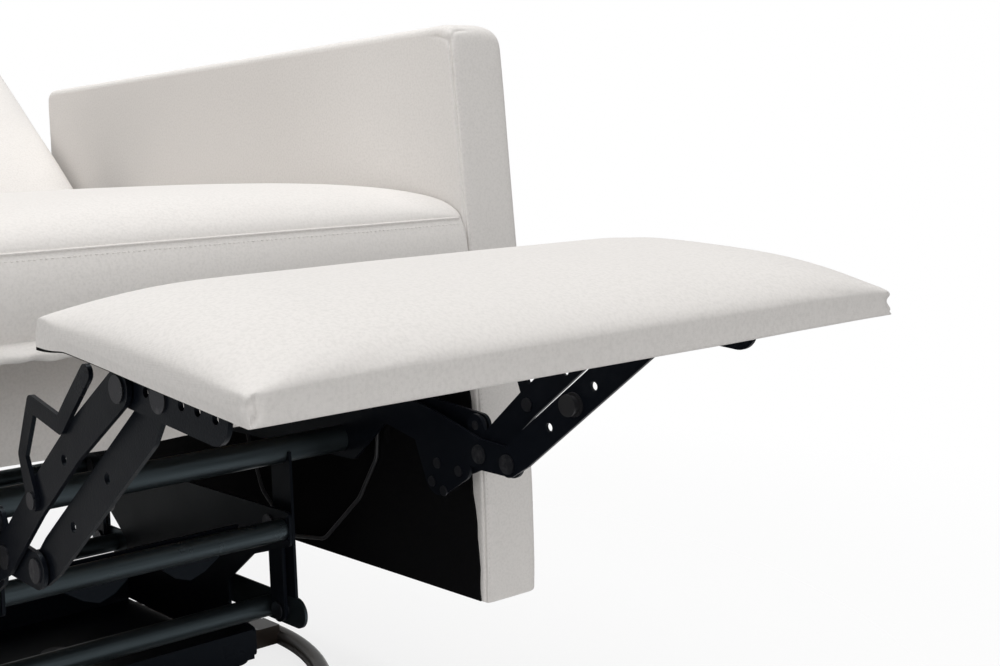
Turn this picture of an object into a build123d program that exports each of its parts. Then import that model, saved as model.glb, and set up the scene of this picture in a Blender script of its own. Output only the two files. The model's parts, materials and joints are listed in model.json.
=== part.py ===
from build123d import *
import os
from math import acos, cos, hypot, pi, radians, sin

os.makedirs("parts", exist_ok=True)

# Driving dimensions, in mm. The plan origin is the swivel axis on the floor,
# the chair faces -Y and the sitter's left is +X.
Y_MID = 91.0            # whole part is moved by this so its box is centred on the row origin
CLEAR = 0.05            # radial running clearance of every turning pin
LOST = 0.6              # lost motion at the control link's front rivet
SOFT_GAP = 0.3          # soft piece to the frame behind it
SHEET = 3.0             # steel sheet thickness

RING_R = 261.5          # floor ring, tube centre radius
RING_TUBE = 9.5
RING_FLAT = 0.5         # wear flat under the tube
BAR_W = 30.0
BAR_H = 20.0
BAR_TOP = 38.0
BEAR_R = 130.0
BALL_R = 3.0
BALL_RING = 105.0
BALL_N = 24
POST_R = 8.0

SIDE_X = 138.5          # stand side plate, inner face
HANG_X = SIDE_X + 6.0   # hanger, inner face
HANG_T = 4.0
RAIL_X = HANG_X + 7.0   # moving rail, inner face
GLIDE_Y = 180.0         # hanger pivots
GLIDE_TOP = 188.0
GLIDE_BOT = 104.0
PIN_R = 5.0
TUBE_R = 10.0
UP_TUBE = (-202.0, 185.5)
LOW_TUBE = (-156.0, 102.0)
CROSS_TUBE = (-185.0, 255.0)
CROSS_R = 12.5

ARM_X = 251.0           # arm, inner face
ARM_T = 64.0
ARM_FRONT = -350.0
ARM_REAR = 470.0
ARM_TOP = 637.0
ARM_BOT = 125.0
LINING_T = 1.5

GAP_X = 1.5             # washer gap between two turning links
X_WOOD = ARM_X - 25.0   # seat side rail, inner face
X_PLATE = X_WOOD - SHEET            # linkage layers, inner face of each
X_CTRL = X_PLATE - GAP_X - SHEET
X_STRAP = X_CTRL - GAP_X - SHEET
X_LONG = X_STRAP - SHEET
X_FRONT = X_LONG - GAP_X - SHEET
X_CROSS = X_FRONT - GAP_X - SHEET

A = (-252.5, 303.0)     # fixed pivot of the front link
B = (-224.7, 340.3)     # fixed pivot of the control link
D = (-398.0, 272.0)     # front link to long link
C = (-436.0, 270.0)     # front link to cross link
P1 = (-567.0, 400.0)    # long link to footrest bracket
P2 = (-605.0, 398.0)    # cross link to footrest bracket
E = (-389.8, 294.6)     # control link to long link
STRAP_RIVET = (-452.0, 319.0)

SEAT_FRONT = -340.0
SEAT_SEAM = 466.0
SEAT_CROWN = 33.0
SEAT_BOTTOM = 445.0
FRAME_TOP = 440.0       # seat frame rails
FRAME_LOW = 400.0
FRAME_FRONT = -330.0
SEAT_REAR = 262.0
ROLL_BOTTOM = 396.0
APRON_Y = -250.0
APRON_BOT = 298.0
APRON_HALF = X_CROSS - 3.0          # passes between the two linkages

FOOT = (-541.0, 442.5)  # rear top edge of the footrest
FOOT_TILT = 6.0
FOOT_DEPTH = 208.0
FOOT_HALF = ARM_X - 6.0
FOOT_CROWN = 27.0

BACK_PIVOT = (380.0, 360.0)
BACK_LEAN = 52.0
BACK_FACE = 121.0       # pivot to front face
BACK_LOW = 40.0
BACK_HIGH = 680.0
BACK_HALF = ARM_X - 7.0
BACK_REAR = 19.0

LEVER = (-215.0, 330.0)


def save(shape, node):
    export_step(Pos(0, -Y_MID, 0) * shape, "parts/" + node + ".step")


def box(x0, x1, y0, y1, z0, z1):
    mid = Pos((x0 + x1) / 2, (y0 + y1) / 2, (z0 + z1) / 2)
    return mid * Box(abs(x1 - x0), abs(y1 - y0), abs(z1 - z0))


def rod(x0, x1, at, r):
    mid = Pos((x0 + x1) / 2, at[0], at[1])
    return mid * Rot(0, 90, 0) * Cylinder(r, abs(x1 - x0))


def outline(pts):
    """Flat face through the points, always facing up."""
    area = sum(p[0] * q[1] - q[0] * p[1] for p, q in zip(pts, pts[1:] + pts[:1]))
    return Polygon(*(pts if area > 0 else pts[::-1]), align=None)


def poly_x(pts, x0, x1):
    return extrude(Plane.YZ.offset(x0) * outline(pts), amount=x1 - x0)


def poly_y(pts, y0, y1):
    return Pos(0, y1, 0) * Rot(90, 0, 0) * extrude(outline(pts), amount=y1 - y0)


def strip(pts, radii, holes=()):
    """Flat bar outline round a chain of centres, with round holes (y, z, r)."""
    shape = Pos(*pts[0]) * Circle(radii[0])
    for p, q, r, s in zip(pts, pts[1:], radii, radii[1:]):
        gap = hypot(q[0] - p[0], q[1] - p[1])
        uy, uz = (q[0] - p[0]) / gap, (q[1] - p[1]) / gap
        turn = acos((r - s) / gap)
        side = []
        for k in (1, -1):
            ny = cos(turn) * uy - k * sin(turn) * uz
            nz = cos(turn) * uz + k * sin(turn) * uy
            side.append(((p[0] + r * ny, p[1] + r * nz), (q[0] + s * ny, q[1] + s * nz)))
        quad = [side[0][0], side[0][1], side[1][1], side[1][0]]
        shape += outline(quad)
        shape += Pos(*q) * Circle(s)
    for y, z, r in holes:
        shape -= Pos(y, z) * Circle(r)
    return shape


def sheet(flat, x0, thick=SHEET):
    return extrude(Plane.YZ.offset(x0) * flat, amount=thick)


def other(shape):
    return mirror(shape, about=Plane.YZ)


def solids(items):
    """Separate solids that share one node."""
    return Compound(children=list(items))


def both(items):
    return solids(list(items) + [other(s) for s in items])


def pair(shape, name, left="_left", right="_right"):
    save(shape, name + left)
    save(other(shape), name + right)


def loft_x(section, stations):
    faces = [Plane.YZ.offset(x) * make_face(section(*args)) for x, args in stations]
    return loft(faces)


# ---------------------------------------------------------------- floor ring and swivel
ring = Pos(0, 0, RING_TUBE - RING_FLAT) * Torus(RING_R, RING_TUBE)
ring -= box(-400, 400, -400, 400, -20, 0)
save(ring, "floor_ring")

low = 4.0
top = BAR_TOP
bar_pts = [(-256, low + BAR_H), (-230, low + BAR_H), (-170, top), (170, top), (230, low + BAR_H),
           (256, low + BAR_H), (256, low), (226, low), (166, top - BAR_H), (-166, top - BAR_H),
           (-226, low), (-256, low)]
bar = poly_y(bar_pts, -BAR_W / 2, BAR_W / 2)
cross = bar + Rot(0, 0, 90) * bar
cross -= Pos(0, 0, RING_TUBE - RING_FLAT) * Torus(RING_R, RING_TUBE)
save(cross, "ring_cross_bars")

z_low = BAR_TOP
z_race = z_low + SHEET
lower = Pos(0, 0, z_low + SHEET / 2) * Cylinder(BEAR_R, SHEET)
lower -= Pos(0, 0, z_low + SHEET / 2) * Cylinder(POST_R, SHEET)
save(lower, "bearing_lower_plate")

balls = []
for k in range(BALL_N):
    a = 2 * pi * k / BALL_N
    balls.append(Pos(BALL_RING * cos(a), BALL_RING * sin(a), z_race + BALL_R) * Sphere(BALL_R))
save(solids(balls), "bearing_balls")

z_up = z_race + 2 * BALL_R + CLEAR
upper = Pos(0, 0, z_up + SHEET / 2) * Box(280, 290, SHEET)
upper = fillet(upper.edges().filter_by(Axis.Z), 20)
upper -= Pos(0, 0, z_up + SHEET / 2) * Cylinder(POST_R + CLEAR, SHEET)
save(upper, "bearing_upper_plate")

z_deck = z_up + SHEET
post = Pos(0, 0, (z_low + z_deck + 3) / 2) * Cylinder(POST_R, z_deck + 3 - z_low)
post += Pos(0, 0, z_deck + 1.6) * Cylinder(15, 2.8)
post = fillet(post.edges().sort_by(Axis.Z)[-1], 1.0)
save(post, "bearing_center_rivet")

# ---------------------------------------------------------------- gliding stand
chan_half = 20.0
chan_h = 28.0
chan = []
for y in (-125.0, 125.0):
    c = box(-SIDE_X, SIDE_X, y - chan_half, y + chan_half, z_deck, z_deck + chan_h)
    inner = box(-400, 400, y - chan_half + SHEET, y + chan_half - SHEET, z_deck - 1, z_deck + chan_h - SHEET)
    chan.append(c - inner)
save(solids(chan), "stand_channels")

side_half = [(0, 52), (145, 52), (145, 79), (104, 86), (104, 118), (150, 152), (214, 172), (214, 203), (0, 203)]
side_pts = side_half + [(-y, z) for y, z in reversed(side_half[1:-1])]
side = poly_x(side_pts, SIDE_X, SIDE_X + SHEET)
side = fillet(side.edges().filter_by(Axis.X), 5)
for s in (-1, 1):
    side -= rod(SIDE_X - 1, SIDE_X + SHEET + 1, (s * GLIDE_Y, GLIDE_TOP), PIN_R)
pair(side, "stand_side")

tubes = []
for s in (1, -1):
    t = rod(-SIDE_X, SIDE_X, (s * UP_TUBE[0], UP_TUBE[1]), TUBE_R)
    tubes.append(t - rod(-400, 400, (s * UP_TUBE[0], UP_TUBE[1]), TUBE_R - 1.5))
save(solids(tubes), "stand_tubes")

lobe_y = UP_TUBE[0] + TUBE_R
lobe_pts = [(-98, 196), (98, 196), (92, 181), (60, 161), (45, 156), (30, 161), (0, 184), (-30, 161),
            (-45, 156), (-60, 161), (-92, 181)]
lobe = poly_y(lobe_pts, lobe_y, lobe_y + SHEET)
for x in (-45, 45):
    lobe -= Pos(x, lobe_y, 178) * Rot(90, 0, 0) * Cylinder(4, 20)
save(lobe, "stand_front_gusset")


def hung(s):
    at = (s * GLIDE_Y, GLIDE_TOP)
    p = rod(SIDE_X - 1.5, RAIL_X - 0.7, at, PIN_R)
    p += rod(SIDE_X - 1.5, SIDE_X, at, 8)
    p += rod(SIDE_X + SHEET, HANG_X - 0.5, at, 8)
    p += rod(HANG_X + HANG_T + 0.4, RAIL_X - 0.7, at, 8)
    return p


save(both([hung(-1), hung(1)]), "hanger_top_pins")

for s, name in ((-1, "hangers_front"), (1, "hangers_rear")):
    y = s * GLIDE_Y
    holes = [(y, GLIDE_TOP, PIN_R + CLEAR), (y, GLIDE_BOT, PIN_R + CLEAR)]
    h = sheet(strip([(y, GLIDE_TOP), (y, GLIDE_BOT)], [11, 11], holes), HANG_X, HANG_T)
    save(both([h]), name)

# ---------------------------------------------------------------- moving rails under the seat
rail = strip([(-200, GLIDE_BOT), (200, GLIDE_BOT)], [14, 14],
             [(-GLIDE_Y, GLIDE_BOT, PIN_R), (GLIDE_Y, GLIDE_BOT, PIN_R)])
pair(sheet(rail, RAIL_X), "glide_rail")

ups = []
for s in (-1, 1):
    y = -s * CROSS_TUBE[0]
    u = box(RAIL_X, RAIL_X + SHEET, y - 15, y + 15, GLIDE_BOT + 14, CROSS_TUBE[1])
    ups.append(u - rod(100, 300, (y, CROSS_TUBE[1]), CROSS_R))
save(both(ups), "glide_uprights")

tubes = []
for s in (1, -1):
    t = rod(-RAIL_X, RAIL_X, (s * LOW_TUBE[0], LOW_TUBE[1]), TUBE_R)
    tubes.append(t - rod(-400, 400, (s * LOW_TUBE[0], LOW_TUBE[1]), TUBE_R - 1.5))
save(solids(tubes), "glide_tubes")


def hung_low(s):
    at = (s * GLIDE_Y, GLIDE_BOT)
    p = rod(HANG_X - 2.1, RAIL_X + SHEET + 2, at, PIN_R)
    p += rod(HANG_X - 2.1, HANG_X - 0.4, at, 8)
    p += rod(HANG_X + HANG_T + 0.4, RAIL_X, at, 8)
    p += rod(RAIL_X + SHEET, RAIL_X + SHEET + 2, at, 8)
    return p


save(both([hung_low(-1), hung_low(1)]), "hanger_bottom_pins")

tubes = []
for s in (1, -1):
    t = rod(-X_PLATE, X_PLATE, (s * CROSS_TUBE[0], CROSS_TUBE[1]), CROSS_R)
    tubes.append(t - rod(-400, 400, (s * CROSS_TUBE[0], CROSS_TUBE[1]), CROSS_R - 1.5))
save(solids(tubes), "seat_cross_tubes")

# ---------------------------------------------------------------- mechanism plates and seat frame
plate_pts = [(-276, 300), (-262, 284), (-205, 237), (205, 237), (300, 300), (398, 342), (400, 372),
             (376, 382), (300, 372), (200, 358), (-190, 362), (-240, 358), (-272, 325)]
PLATE_SCREWS = [(-150, 335), (-40, 335), (80, 335), (200, 330)]
mech = poly_x(plate_pts, X_PLATE, X_PLATE + SHEET)
mech = fillet(mech.edges().filter_by(Axis.X), 5)
mech -= rod(X_PLATE - 1, X_WOOD + 1, A, 6)
mech -= rod(X_PLATE - 1, X_WOOD + 1, B, PIN_R)
mech -= rod(X_PLATE - 1, X_WOOD + 1, BACK_PIVOT, PIN_R)
for at in PLATE_SCREWS:
    mech -= rod(X_PLATE - 1, X_WOOD + 1, at, 2.5)
pair(mech, "mechanism_plate")

head_a = X_FRONT - 2.7
head_b = X_CTRL - 2.3
pin_a = rod(head_a, X_WOOD, A, 6) + rod(X_FRONT + SHEET + 0.5, X_STRAP - 0.4, A, 9)
pin_a += rod(X_CTRL + SHEET + 0.4, X_PLATE, A, 9)
pin_a += rod(head_a, X_FRONT - 0.4, A, 10)
pin_b = rod(head_b, X_WOOD, B, PIN_R) + rod(X_CTRL + SHEET + 0.4, X_PLATE, B, 8)
pin_b += rod(head_b, X_CTRL - 0.4, B, 8)
save(both([pin_a, pin_b]), "link_pivot_pins")

REAR_FACE = 245.0
rail_pts = [(FRAME_FRONT, FRAME_LOW), (FRAME_FRONT, FRAME_TOP), (REAR_FACE, FRAME_TOP), (REAR_FACE, 335),
            (430, 335), (430, 300), (-248, 300), (-248, FRAME_LOW)]
side_rail = poly_x(rail_pts, X_WOOD, ARM_X)
for at in PLATE_SCREWS:
    side_rail -= rod(X_WOOD, X_WOOD + 14, at, 2.5)
pair(side_rail, "seat_side_rail")

screws = []
for at in PLATE_SCREWS:
    screws.append(rod(X_PLATE, X_WOOD + 14, at, 2.5) + rod(X_PLATE - 2, X_PLATE, at, 5.5))
save(both(screws), "mechanism_screws")

save(box(-X_WOOD, X_WOOD, FRAME_FRONT, FRAME_FRONT + 22, FRAME_LOW, FRAME_TOP), "seat_front_rail")
rail_y = APRON_Y + 4
apron_rail = box(-APRON_HALF, APRON_HALF, rail_y, rail_y + 18, APRON_BOT + 4, FRAME_LOW)
apron_rail += box(-X_WOOD, X_WOOD, rail_y, rail_y + 18, FRAME_LOW - 32, FRAME_LOW)
save(apron_rail, "seat_apron_rail")
rear_rail = box(-X_WOOD, X_WOOD, REAR_FACE - 20, REAR_FACE, 345, FRAME_TOP)
save(rear_rail - mech - other(mech), "seat_rear_rail")

apron = box(-APRON_HALF, APRON_HALF, APRON_Y, rail_y, APRON_BOT, FRAME_LOW)
apron += box(-APRON_HALF, APRON_HALF, rail_y, rail_y + 18, APRON_BOT, APRON_BOT + 4)
apron = fillet(apron.edges().filter_by(Axis.X).group_by(Axis.Z)[0].sort_by(Axis.Y)[0], 3)
save(apron, "front_apron")

# Sinuous seat springs, a flat zig-zag wire with round turns.
WIRE_R = 1.7
TURN_R = 12.0
RUN = 16.0
spring_z = FRAME_TOP + WIRE_R
springs = []
for cx in (-164, -82, 0, 82, 164):
    y = -318.0
    edges = [Line((cx, y, spring_z), (cx + RUN, y, spring_z))]
    sign = 1
    for k in range(22):
        x = cx + sign * RUN
        bend = (x + sign * TURN_R, y + TURN_R, spring_z)
        edges.append(ThreePointArc((x, y, spring_z), bend, (x, y + 2 * TURN_R, spring_z)))
        y += 2 * TURN_R
        end = cx if k == 21 else cx - sign * RUN
        edges.append(Line((x, y, spring_z), (end, y, spring_z)))
        sign = -sign
    path = Wire(edges)
    start = Plane(origin=path @ 0, z_dir=path % 0)
    springs.append(sweep(start * Circle(WIRE_R), path=path))
save(solids(springs), "seat_springs")


def seat_outline(inset, crown):
    f = SEAT_FRONT + inset
    r = SEAT_REAR - inset
    seam = SEAT_SEAM - inset * 0.5
    roll = FRAME_FRONT - 1
    return [
        Line((r, SEAT_BOTTOM), (roll, SEAT_BOTTOM)),
        Line((roll, SEAT_BOTTOM), (roll, ROLL_BOTTOM + 5)),
        ThreePointArc((roll, ROLL_BOTTOM + 5), (roll - 3, ROLL_BOTTOM + 0.6), (f + 1.5, ROLL_BOTTOM + 8)),
        ThreePointArc((f + 1.5, ROLL_BOTTOM + 8), (f - 3, (ROLL_BOTTOM + seam) / 2), (f, seam)),
        ThreePointArc((f, seam), ((f + r) / 2, seam + crown), (r - 2, seam)),
        ThreePointArc((r - 2, seam), (r + 2, (seam + SEAT_BOTTOM) / 2), (r, SEAT_BOTTOM)),
    ]


seat_half = ARM_X - 1.5
stations = [(-seat_half, (2.5, 10)), (-seat_half + 11.5, (0.5, 20)), (-130, (0, 30)), (0, (0, SEAT_CROWN)),
            (130, (0, 30)), (seat_half - 11.5, (0.5, 20)), (seat_half, (2.5, 10))]
save(loft_x(seat_outline, stations), "seat_cushion")


# ---------------------------------------------------------------- arms
def arm_outline(i):
    f = ARM_FRONT + i
    r = ARM_REAR - i
    t = ARM_TOP - i
    b = ARM_BOT + i * 0.4
    return [
        Line((r, b), (f, b)),
        Line((f, b), (f, 400)),
        ThreePointArc((f, 400), (f + 4.5, 510), (f + 22, t - 25)),
        ThreePointArc((f + 22, t - 25), (f + 31, t - 7), (f + 50, t)),
        Line((f + 50, t), (r - 30, t - 1.5)),
        ThreePointArc((r - 30, t - 1.5), (r - 9, t - 10), (r, t - 31)),
        Line((r, t - 31), (r, b)),
    ]


arm_st = [(ARM_X, (9,)), (ARM_X + 5, (3,)), (ARM_X + 14, (0,)), (ARM_X + ARM_T - 16, (0,)),
          (ARM_X + ARM_T - 6, (3,)), (ARM_X + ARM_T, (11,))]
arm = loft_x(arm_outline, arm_st)
cup = Pos(ARM_X + ARM_T, LEVER[0], LEVER[1]) * Rot(0, 90, 0) * Cylinder(34, 36)
hub = rod(ARM_X + ARM_T - 18, ARM_X + ARM_T - 6, LEVER, 6)
left_arm = arm - cup + hub
save(left_arm, "arm_left")
save(other(arm), "arm_right")

lining_low = ARM_BOT + 7
lining_pts = [(FRAME_FRONT - 2, lining_low), (ARM_REAR - 15, lining_low), (ARM_REAR - 15, 300), (-248, 300),
              (-248, FRAME_LOW), (FRAME_FRONT - 2, FRAME_LOW)]
save(both([poly_x(lining_pts, ARM_X - LINING_T, ARM_X)]), "arm_linings")

lx = ARM_X + ARM_T - 15
lever_bar = strip([LEVER, (LEVER[0] + 5, LEVER[1] - 24)], [12, 7], [(*LEVER, 6 + CLEAR)])
lever = sheet(lever_bar, lx, 7)
save(lever, "release_lever")

# Release cable, clipped along the far arm's lining and up to the mechanism plate.
cable_x = ARM_X - LINING_T - 3.4
cable_pts = [(-214, 262), (-211, 236), (-181, 192), (-120, 140), (-62, 132), (-10, 172), (14, 230), (18, 262)]
cable_path = FilletPolyline(*[(cable_x, y, z) for y, z in cable_pts], radius=24)
cable_start = Plane(origin=cable_path @ 0, z_dir=cable_path % 0)
cable = sweep(cable_start * Circle(2.0), path=cable_path)
for y in (cable_pts[0][0], cable_pts[-1][0]):
    cable += Pos(cable_x, y, 276) * Cylinder(3.2, 28)
save(cable, "release_cable")

# ---------------------------------------------------------------- footrest linkage
LOBE_RIVETS = [(-345, 257), (-372, 254), (-337, 240), (-352, 234)]
front = strip([A, (-330, 288), D, C], [14, 17, 13, 12])
front += strip([(-330, 282), (-345, 246), (-374, 258)], [16, 17, 12])
for y, z, r in ((A[0], A[1], 6 + CLEAR), (D[0], D[1], PIN_R + CLEAR), (C[0], C[1], PIN_R)):
    front -= Pos(y, z) * Circle(r)
for at in LOBE_RIVETS:
    front -= Pos(*at) * Circle(2.5)
pair(sheet(front, X_FRONT), "front_link")

cross_in = X_CROSS - 1.8
front_in = X_FRONT - 1.1
front_out = X_FRONT + SHEET + 1.3
pins = [rod(cross_in, front_out, C, PIN_R) + rod(cross_in, X_CROSS - 0.2, C, 8)]
pins[0] += rod(X_FRONT + SHEET, front_out, C, 8) + rod(X_CROSS + SHEET + 0.2, X_FRONT, C, 8)
for at in LOBE_RIVETS:
    pins.append(rod(front_in, X_FRONT + SHEET, at, 2.5) + rod(front_in, X_FRONT, at, 4.5))
save(both(pins), "front_link_rivets")

long_link = strip([P1, (-508, 362), STRAP_RIVET, D, (-376, 260)], [11.5, 11.5, 11.5, 12, 10])
long_link += strip([D, E], [12, 9.5])
for y, z, r in ((*P1, PIN_R + CLEAR), (*D, PIN_R), (*E, 4.0), (*STRAP_RIVET, 3.0), (-495, 350, 3.5)):
    long_link -= Pos(y, z) * Circle(r)
pair(sheet(long_link, X_LONG), "long_link")

# The strap dips so that it passes under the front link's fixed pin when the rest is folded.
strap_pts = [STRAP_RIVET, (-441, 346), (-452, 368), (-458, 380), (-497, 371.5), (-511, 385), (-534, 406)]
strap = strip(strap_pts, [7, 5, 5.5, 5.5, 5.5, 5.5, 5.5], [(*STRAP_RIVET, 3.0)])
save(both([sheet(strap, X_STRAP)]), "stop_straps")

long_in = X_LONG - 1.1
long_out = X_LONG + SHEET + 1.2
ctrl_out = X_CTRL + SHEET + 1.1
strap_out = X_STRAP + SHEET + 1.2
pin_d = rod(front_in, long_out, D, PIN_R) + rod(front_in, X_FRONT - 0.2, D, 8)
pin_d += rod(X_STRAP, long_out, D, 8) + rod(X_FRONT + SHEET + 0.2, X_LONG, D, 8)
pin_e = rod(X_LONG, ctrl_out, E, 4) + rod(X_STRAP, X_CTRL - 0.3, E, 7)
pin_e += rod(X_CTRL + SHEET + 0.3, ctrl_out, E, 7)
pin_s = rod(long_in, strap_out, STRAP_RIVET, 3) + rod(long_in, X_LONG, STRAP_RIVET, 5.5)
pin_s += rod(X_STRAP + SHEET, strap_out, STRAP_RIVET, 5.5)
save(both([pin_d, pin_e, pin_s]), "long_link_rivets")

cross_link = strip([P2, (-595, 390.5), (-580, 379), (-452, 282), C], [10, 7.5, 13, 13, 11],
                   [(*P2, PIN_R + CLEAR), (*C, PIN_R + CLEAR), (-532, 343, 3.5), (-484, 306, 3.5)])
pair(sheet(cross_link, X_CROSS), "cross_link")

ROLLER = (-511, 327)
roller = rod(X_CROSS - 1.6, X_CROSS, ROLLER, 9.5) + rod(X_CROSS - 6.5, X_CROSS - 1.6, ROLLER, 7)
roller += rod(X_CROSS - 8, X_CROSS - 6.5, ROLLER, 8.5)
save(both([roller]), "stop_rollers")

# Hooked round the front link's fixed pin, which it passes on its way back.
ctrl_pts = [E, (-277.3, 309.4), (-256.6, 286.9), (-236.1, 290.4), B]
ctrl = strip(ctrl_pts, [9, 6, 6, 6.5, 10], [(*E, 4.0 + LOST), (*B, PIN_R + CLEAR)])
save(both([sheet(ctrl, X_CTRL)]), "control_links")

# ---------------------------------------------------------------- footrest
place_foot = Pos(0, FOOT[0], FOOT[1]) * Rot(FOOT_TILT, 0, 0)
c6, s6 = cos(radians(FOOT_TILT)), sin(radians(FOOT_TILT))


def to_foot(p):
    y, z = p[0] - FOOT[0], p[1] - FOOT[1]
    return (y * c6 + z * s6, -y * s6 + z * c6)


under = -16.0
q1, q2 = to_foot(P1), to_foot(P2)
flange = strip([(-30, -36), (-122, -36)], [14, 14])
flange += outline([(-16, under), (-136, under), (-136, -36), (-16, -36)])
flange -= Pos(*q1) * Circle(PIN_R)
flange -= Pos(*q2) * Circle(PIN_R)
for p in ((-591, 400), (-628, 397), (-644, 396), (-661, 394)):
    flange -= Pos(*to_foot(p)) * Circle(3.0)
bracket = sheet(flange, X_FRONT)
shelf_end = X_FRONT + 22.5
shelf_screw = shelf_end - 7.5
shelf = box(X_FRONT + SHEET, shelf_end, -136, -16, under - SHEET, under)
SHELF_SCREWS = ((shelf_screw, -34), (shelf_screw, -118))
for x, y in SHELF_SCREWS:
    shelf -= Pos(x, y, under - 2) * Cylinder(2.5, 10)
bracket = place_foot * (bracket + shelf)
pair(bracket, "footrest_bracket")

board = box(-FOOT_HALF + 4, FOOT_HALF - 4, -FOOT_DEPTH + 4, -4, under, -6)
for s in (-1, 1):
    for x, y in SHELF_SCREWS:
        board -= Pos(s * x, y, under + 4) * Cylinder(2.5, 8.0)
save(place_foot * board, "footrest_board")

screws = []
for x, y in SHELF_SCREWS:
    sc = Pos(x, y, (under - SHEET + under + 8) / 2) * Cylinder(2.5, 8 + SHEET)
    sc += Pos(x, y, under - SHEET - 1) * Cylinder(5.5, 2)
    screws.append(place_foot * sc)
save(both(screws), "footrest_screws")


def pad_outline(i, crown):
    f = -FOOT_DEPTH + i
    r = -i
    return [
        Line((r - 2, -6), (f + 2, -6)),
        ThreePointArc((f + 2, -6), (f - 0.2, -3), (f + 2.5, 0.5)),
        ThreePointArc((f + 2.5, 0.5), (-FOOT_DEPTH / 2, crown), (r - 2.5, 0.5)),
        ThreePointArc((r - 2.5, 0.5), (r + 0.2, -3), (r - 2, -6)),
    ]


pad_st = [(-FOOT_HALF, (3, 9)), (-FOOT_HALF + 14, (0.5, 17)), (-130, (0, 25)), (0, (0, FOOT_CROWN)),
          (130, (0, 25)), (FOOT_HALF - 14, (0.5, 17)), (FOOT_HALF, (3, 9))]
save(place_foot * loft_x(pad_outline, pad_st), "footrest_pad")

pin_1 = rod(front_in, long_out, P1, PIN_R) + rod(front_in, X_FRONT, P1, 8)
pin_1 += rod(X_FRONT + SHEET, front_out, P1, 8) + rod(X_STRAP + 0.2, long_out, P1, 8)
pin_2 = rod(cross_in, front_out, P2, PIN_R) + rod(cross_in, X_CROSS - 0.2, P2, 8)
pin_2 += rod(X_FRONT + SHEET, front_out, P2, 8) + rod(X_CROSS + SHEET + 0.2, X_FRONT, P2, 8)
save(both([pin_1, pin_2]), "bracket_rivets")

# ---------------------------------------------------------------- back, built upright at its pivot
place_back = Pos(0, BACK_PIVOT[0], BACK_PIVOT[1]) * Rot(-BACK_LEAN, 0, 0)
POST_X = BACK_HALF - 23.0
POST_W = 19.0
POST_FRONT = -45.0
POST_REAR = -8.0
POST_LOW = BACK_LOW + 6
POST_HIGH = BACK_HIGH - 20
post_l = box(POST_X, POST_X + POST_W, POST_FRONT, POST_REAR, POST_LOW, POST_HIGH)
save(place_back * both([post_l]), "back_posts")
BR_X = POST_X - SHEET
bracket_b = strip([(0, 0), (-30, POST_LOW), (-28, 200)], [14, 11, 11], [(0, 0, PIN_R + CLEAR)])
bracket_b = sheet(bracket_b, BR_X)
save(place_back * both([bracket_b]), "back_brackets")

rails = []
for z in (POST_LOW, (BACK_LOW + BACK_HIGH) / 2 - 30, POST_HIGH - 50):
    rail = box(-POST_X, POST_X, POST_FRONT, POST_REAR, z, z + 50)
    rails.append(rail - bracket_b - other(bracket_b))
save(place_back * solids(rails), "back_rails")

bolt = rod(BR_X - 3.5, X_WOOD, BACK_PIVOT, PIN_R) + rod(BR_X + SHEET + 0.3, X_PLATE, BACK_PIVOT, 9)
bolt += rod(BR_X - 3.5, BR_X - 0.3, BACK_PIVOT, 9)
save(both([bolt]), "back_pivot_bolts")


def back_outline(i, crown):
    f = -BACK_FACE + i
    lo = BACK_LOW + i
    hi = BACK_HIGH - i
    rear = POST_FRONT - SOFT_GAP
    return [
        Line((rear, hi - 16), (rear, lo)),
        Line((rear, lo), (f + 10, lo)),
        ThreePointArc((f + 10, lo), (f + 2.5, lo + 3), (f, lo + 12)),
        ThreePointArc((f, lo + 12), (f - crown, (lo + hi) / 2), (f + 6, hi - 34)),
        ThreePointArc((f + 6, hi - 34), (f + 30, hi - 4), (rear - 4, hi)),
        ThreePointArc((rear - 4, hi), (rear - 0.8, hi - 6), (rear, hi - 16)),
    ]


back_st = [(-BACK_HALF, (8, 4)), (-BACK_HALF + 14, (1, 10)), (-120, (0, 15)), (0, (0, 17)),
           (120, (0, 15)), (BACK_HALF - 14, (1, 10)), (BACK_HALF, (8, 4))]
save(place_back * loft_x(back_outline, back_st), "back_cushion")


def shell_outline(i, crown):
    r = BACK_REAR - i
    lo = BACK_LOW + 2 + i
    hi = BACK_HIGH - 6 - i
    return [
        Line((POST_REAR, lo), (POST_REAR, hi)),
        Line((POST_REAR, hi), (r - 12, hi)),
        ThreePointArc((r - 12, hi), (r - 3, hi - 4), (r, hi - 14)),
        ThreePointArc((r, hi - 14), (r + crown, (lo + hi) / 2), (r, lo + 12)),
        ThreePointArc((r, lo + 12), (r - 3, lo + 3), (r - 10, lo)),
        Line((r - 10, lo), (POST_REAR, lo)),
    ]


shell_st = [(-BACK_HALF + 1, (6, 1)), (-BACK_HALF + 12, (1, 2)), (0, (0, 4)), (BACK_HALF - 12, (1, 2)),
            (BACK_HALF - 1, (6, 1))]
save(place_back * loft_x(shell_outline, shell_st), "back_outer")
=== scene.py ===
import json
import math

import bmesh
import bpy
from bpy.props import FloatProperty, FloatVectorProperty, IntProperty, PointerProperty
from mathutils import Matrix, Vector, noise
from mathutils.bvhtree import BVHTree
from mathutils.kdtree import KDTree


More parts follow.
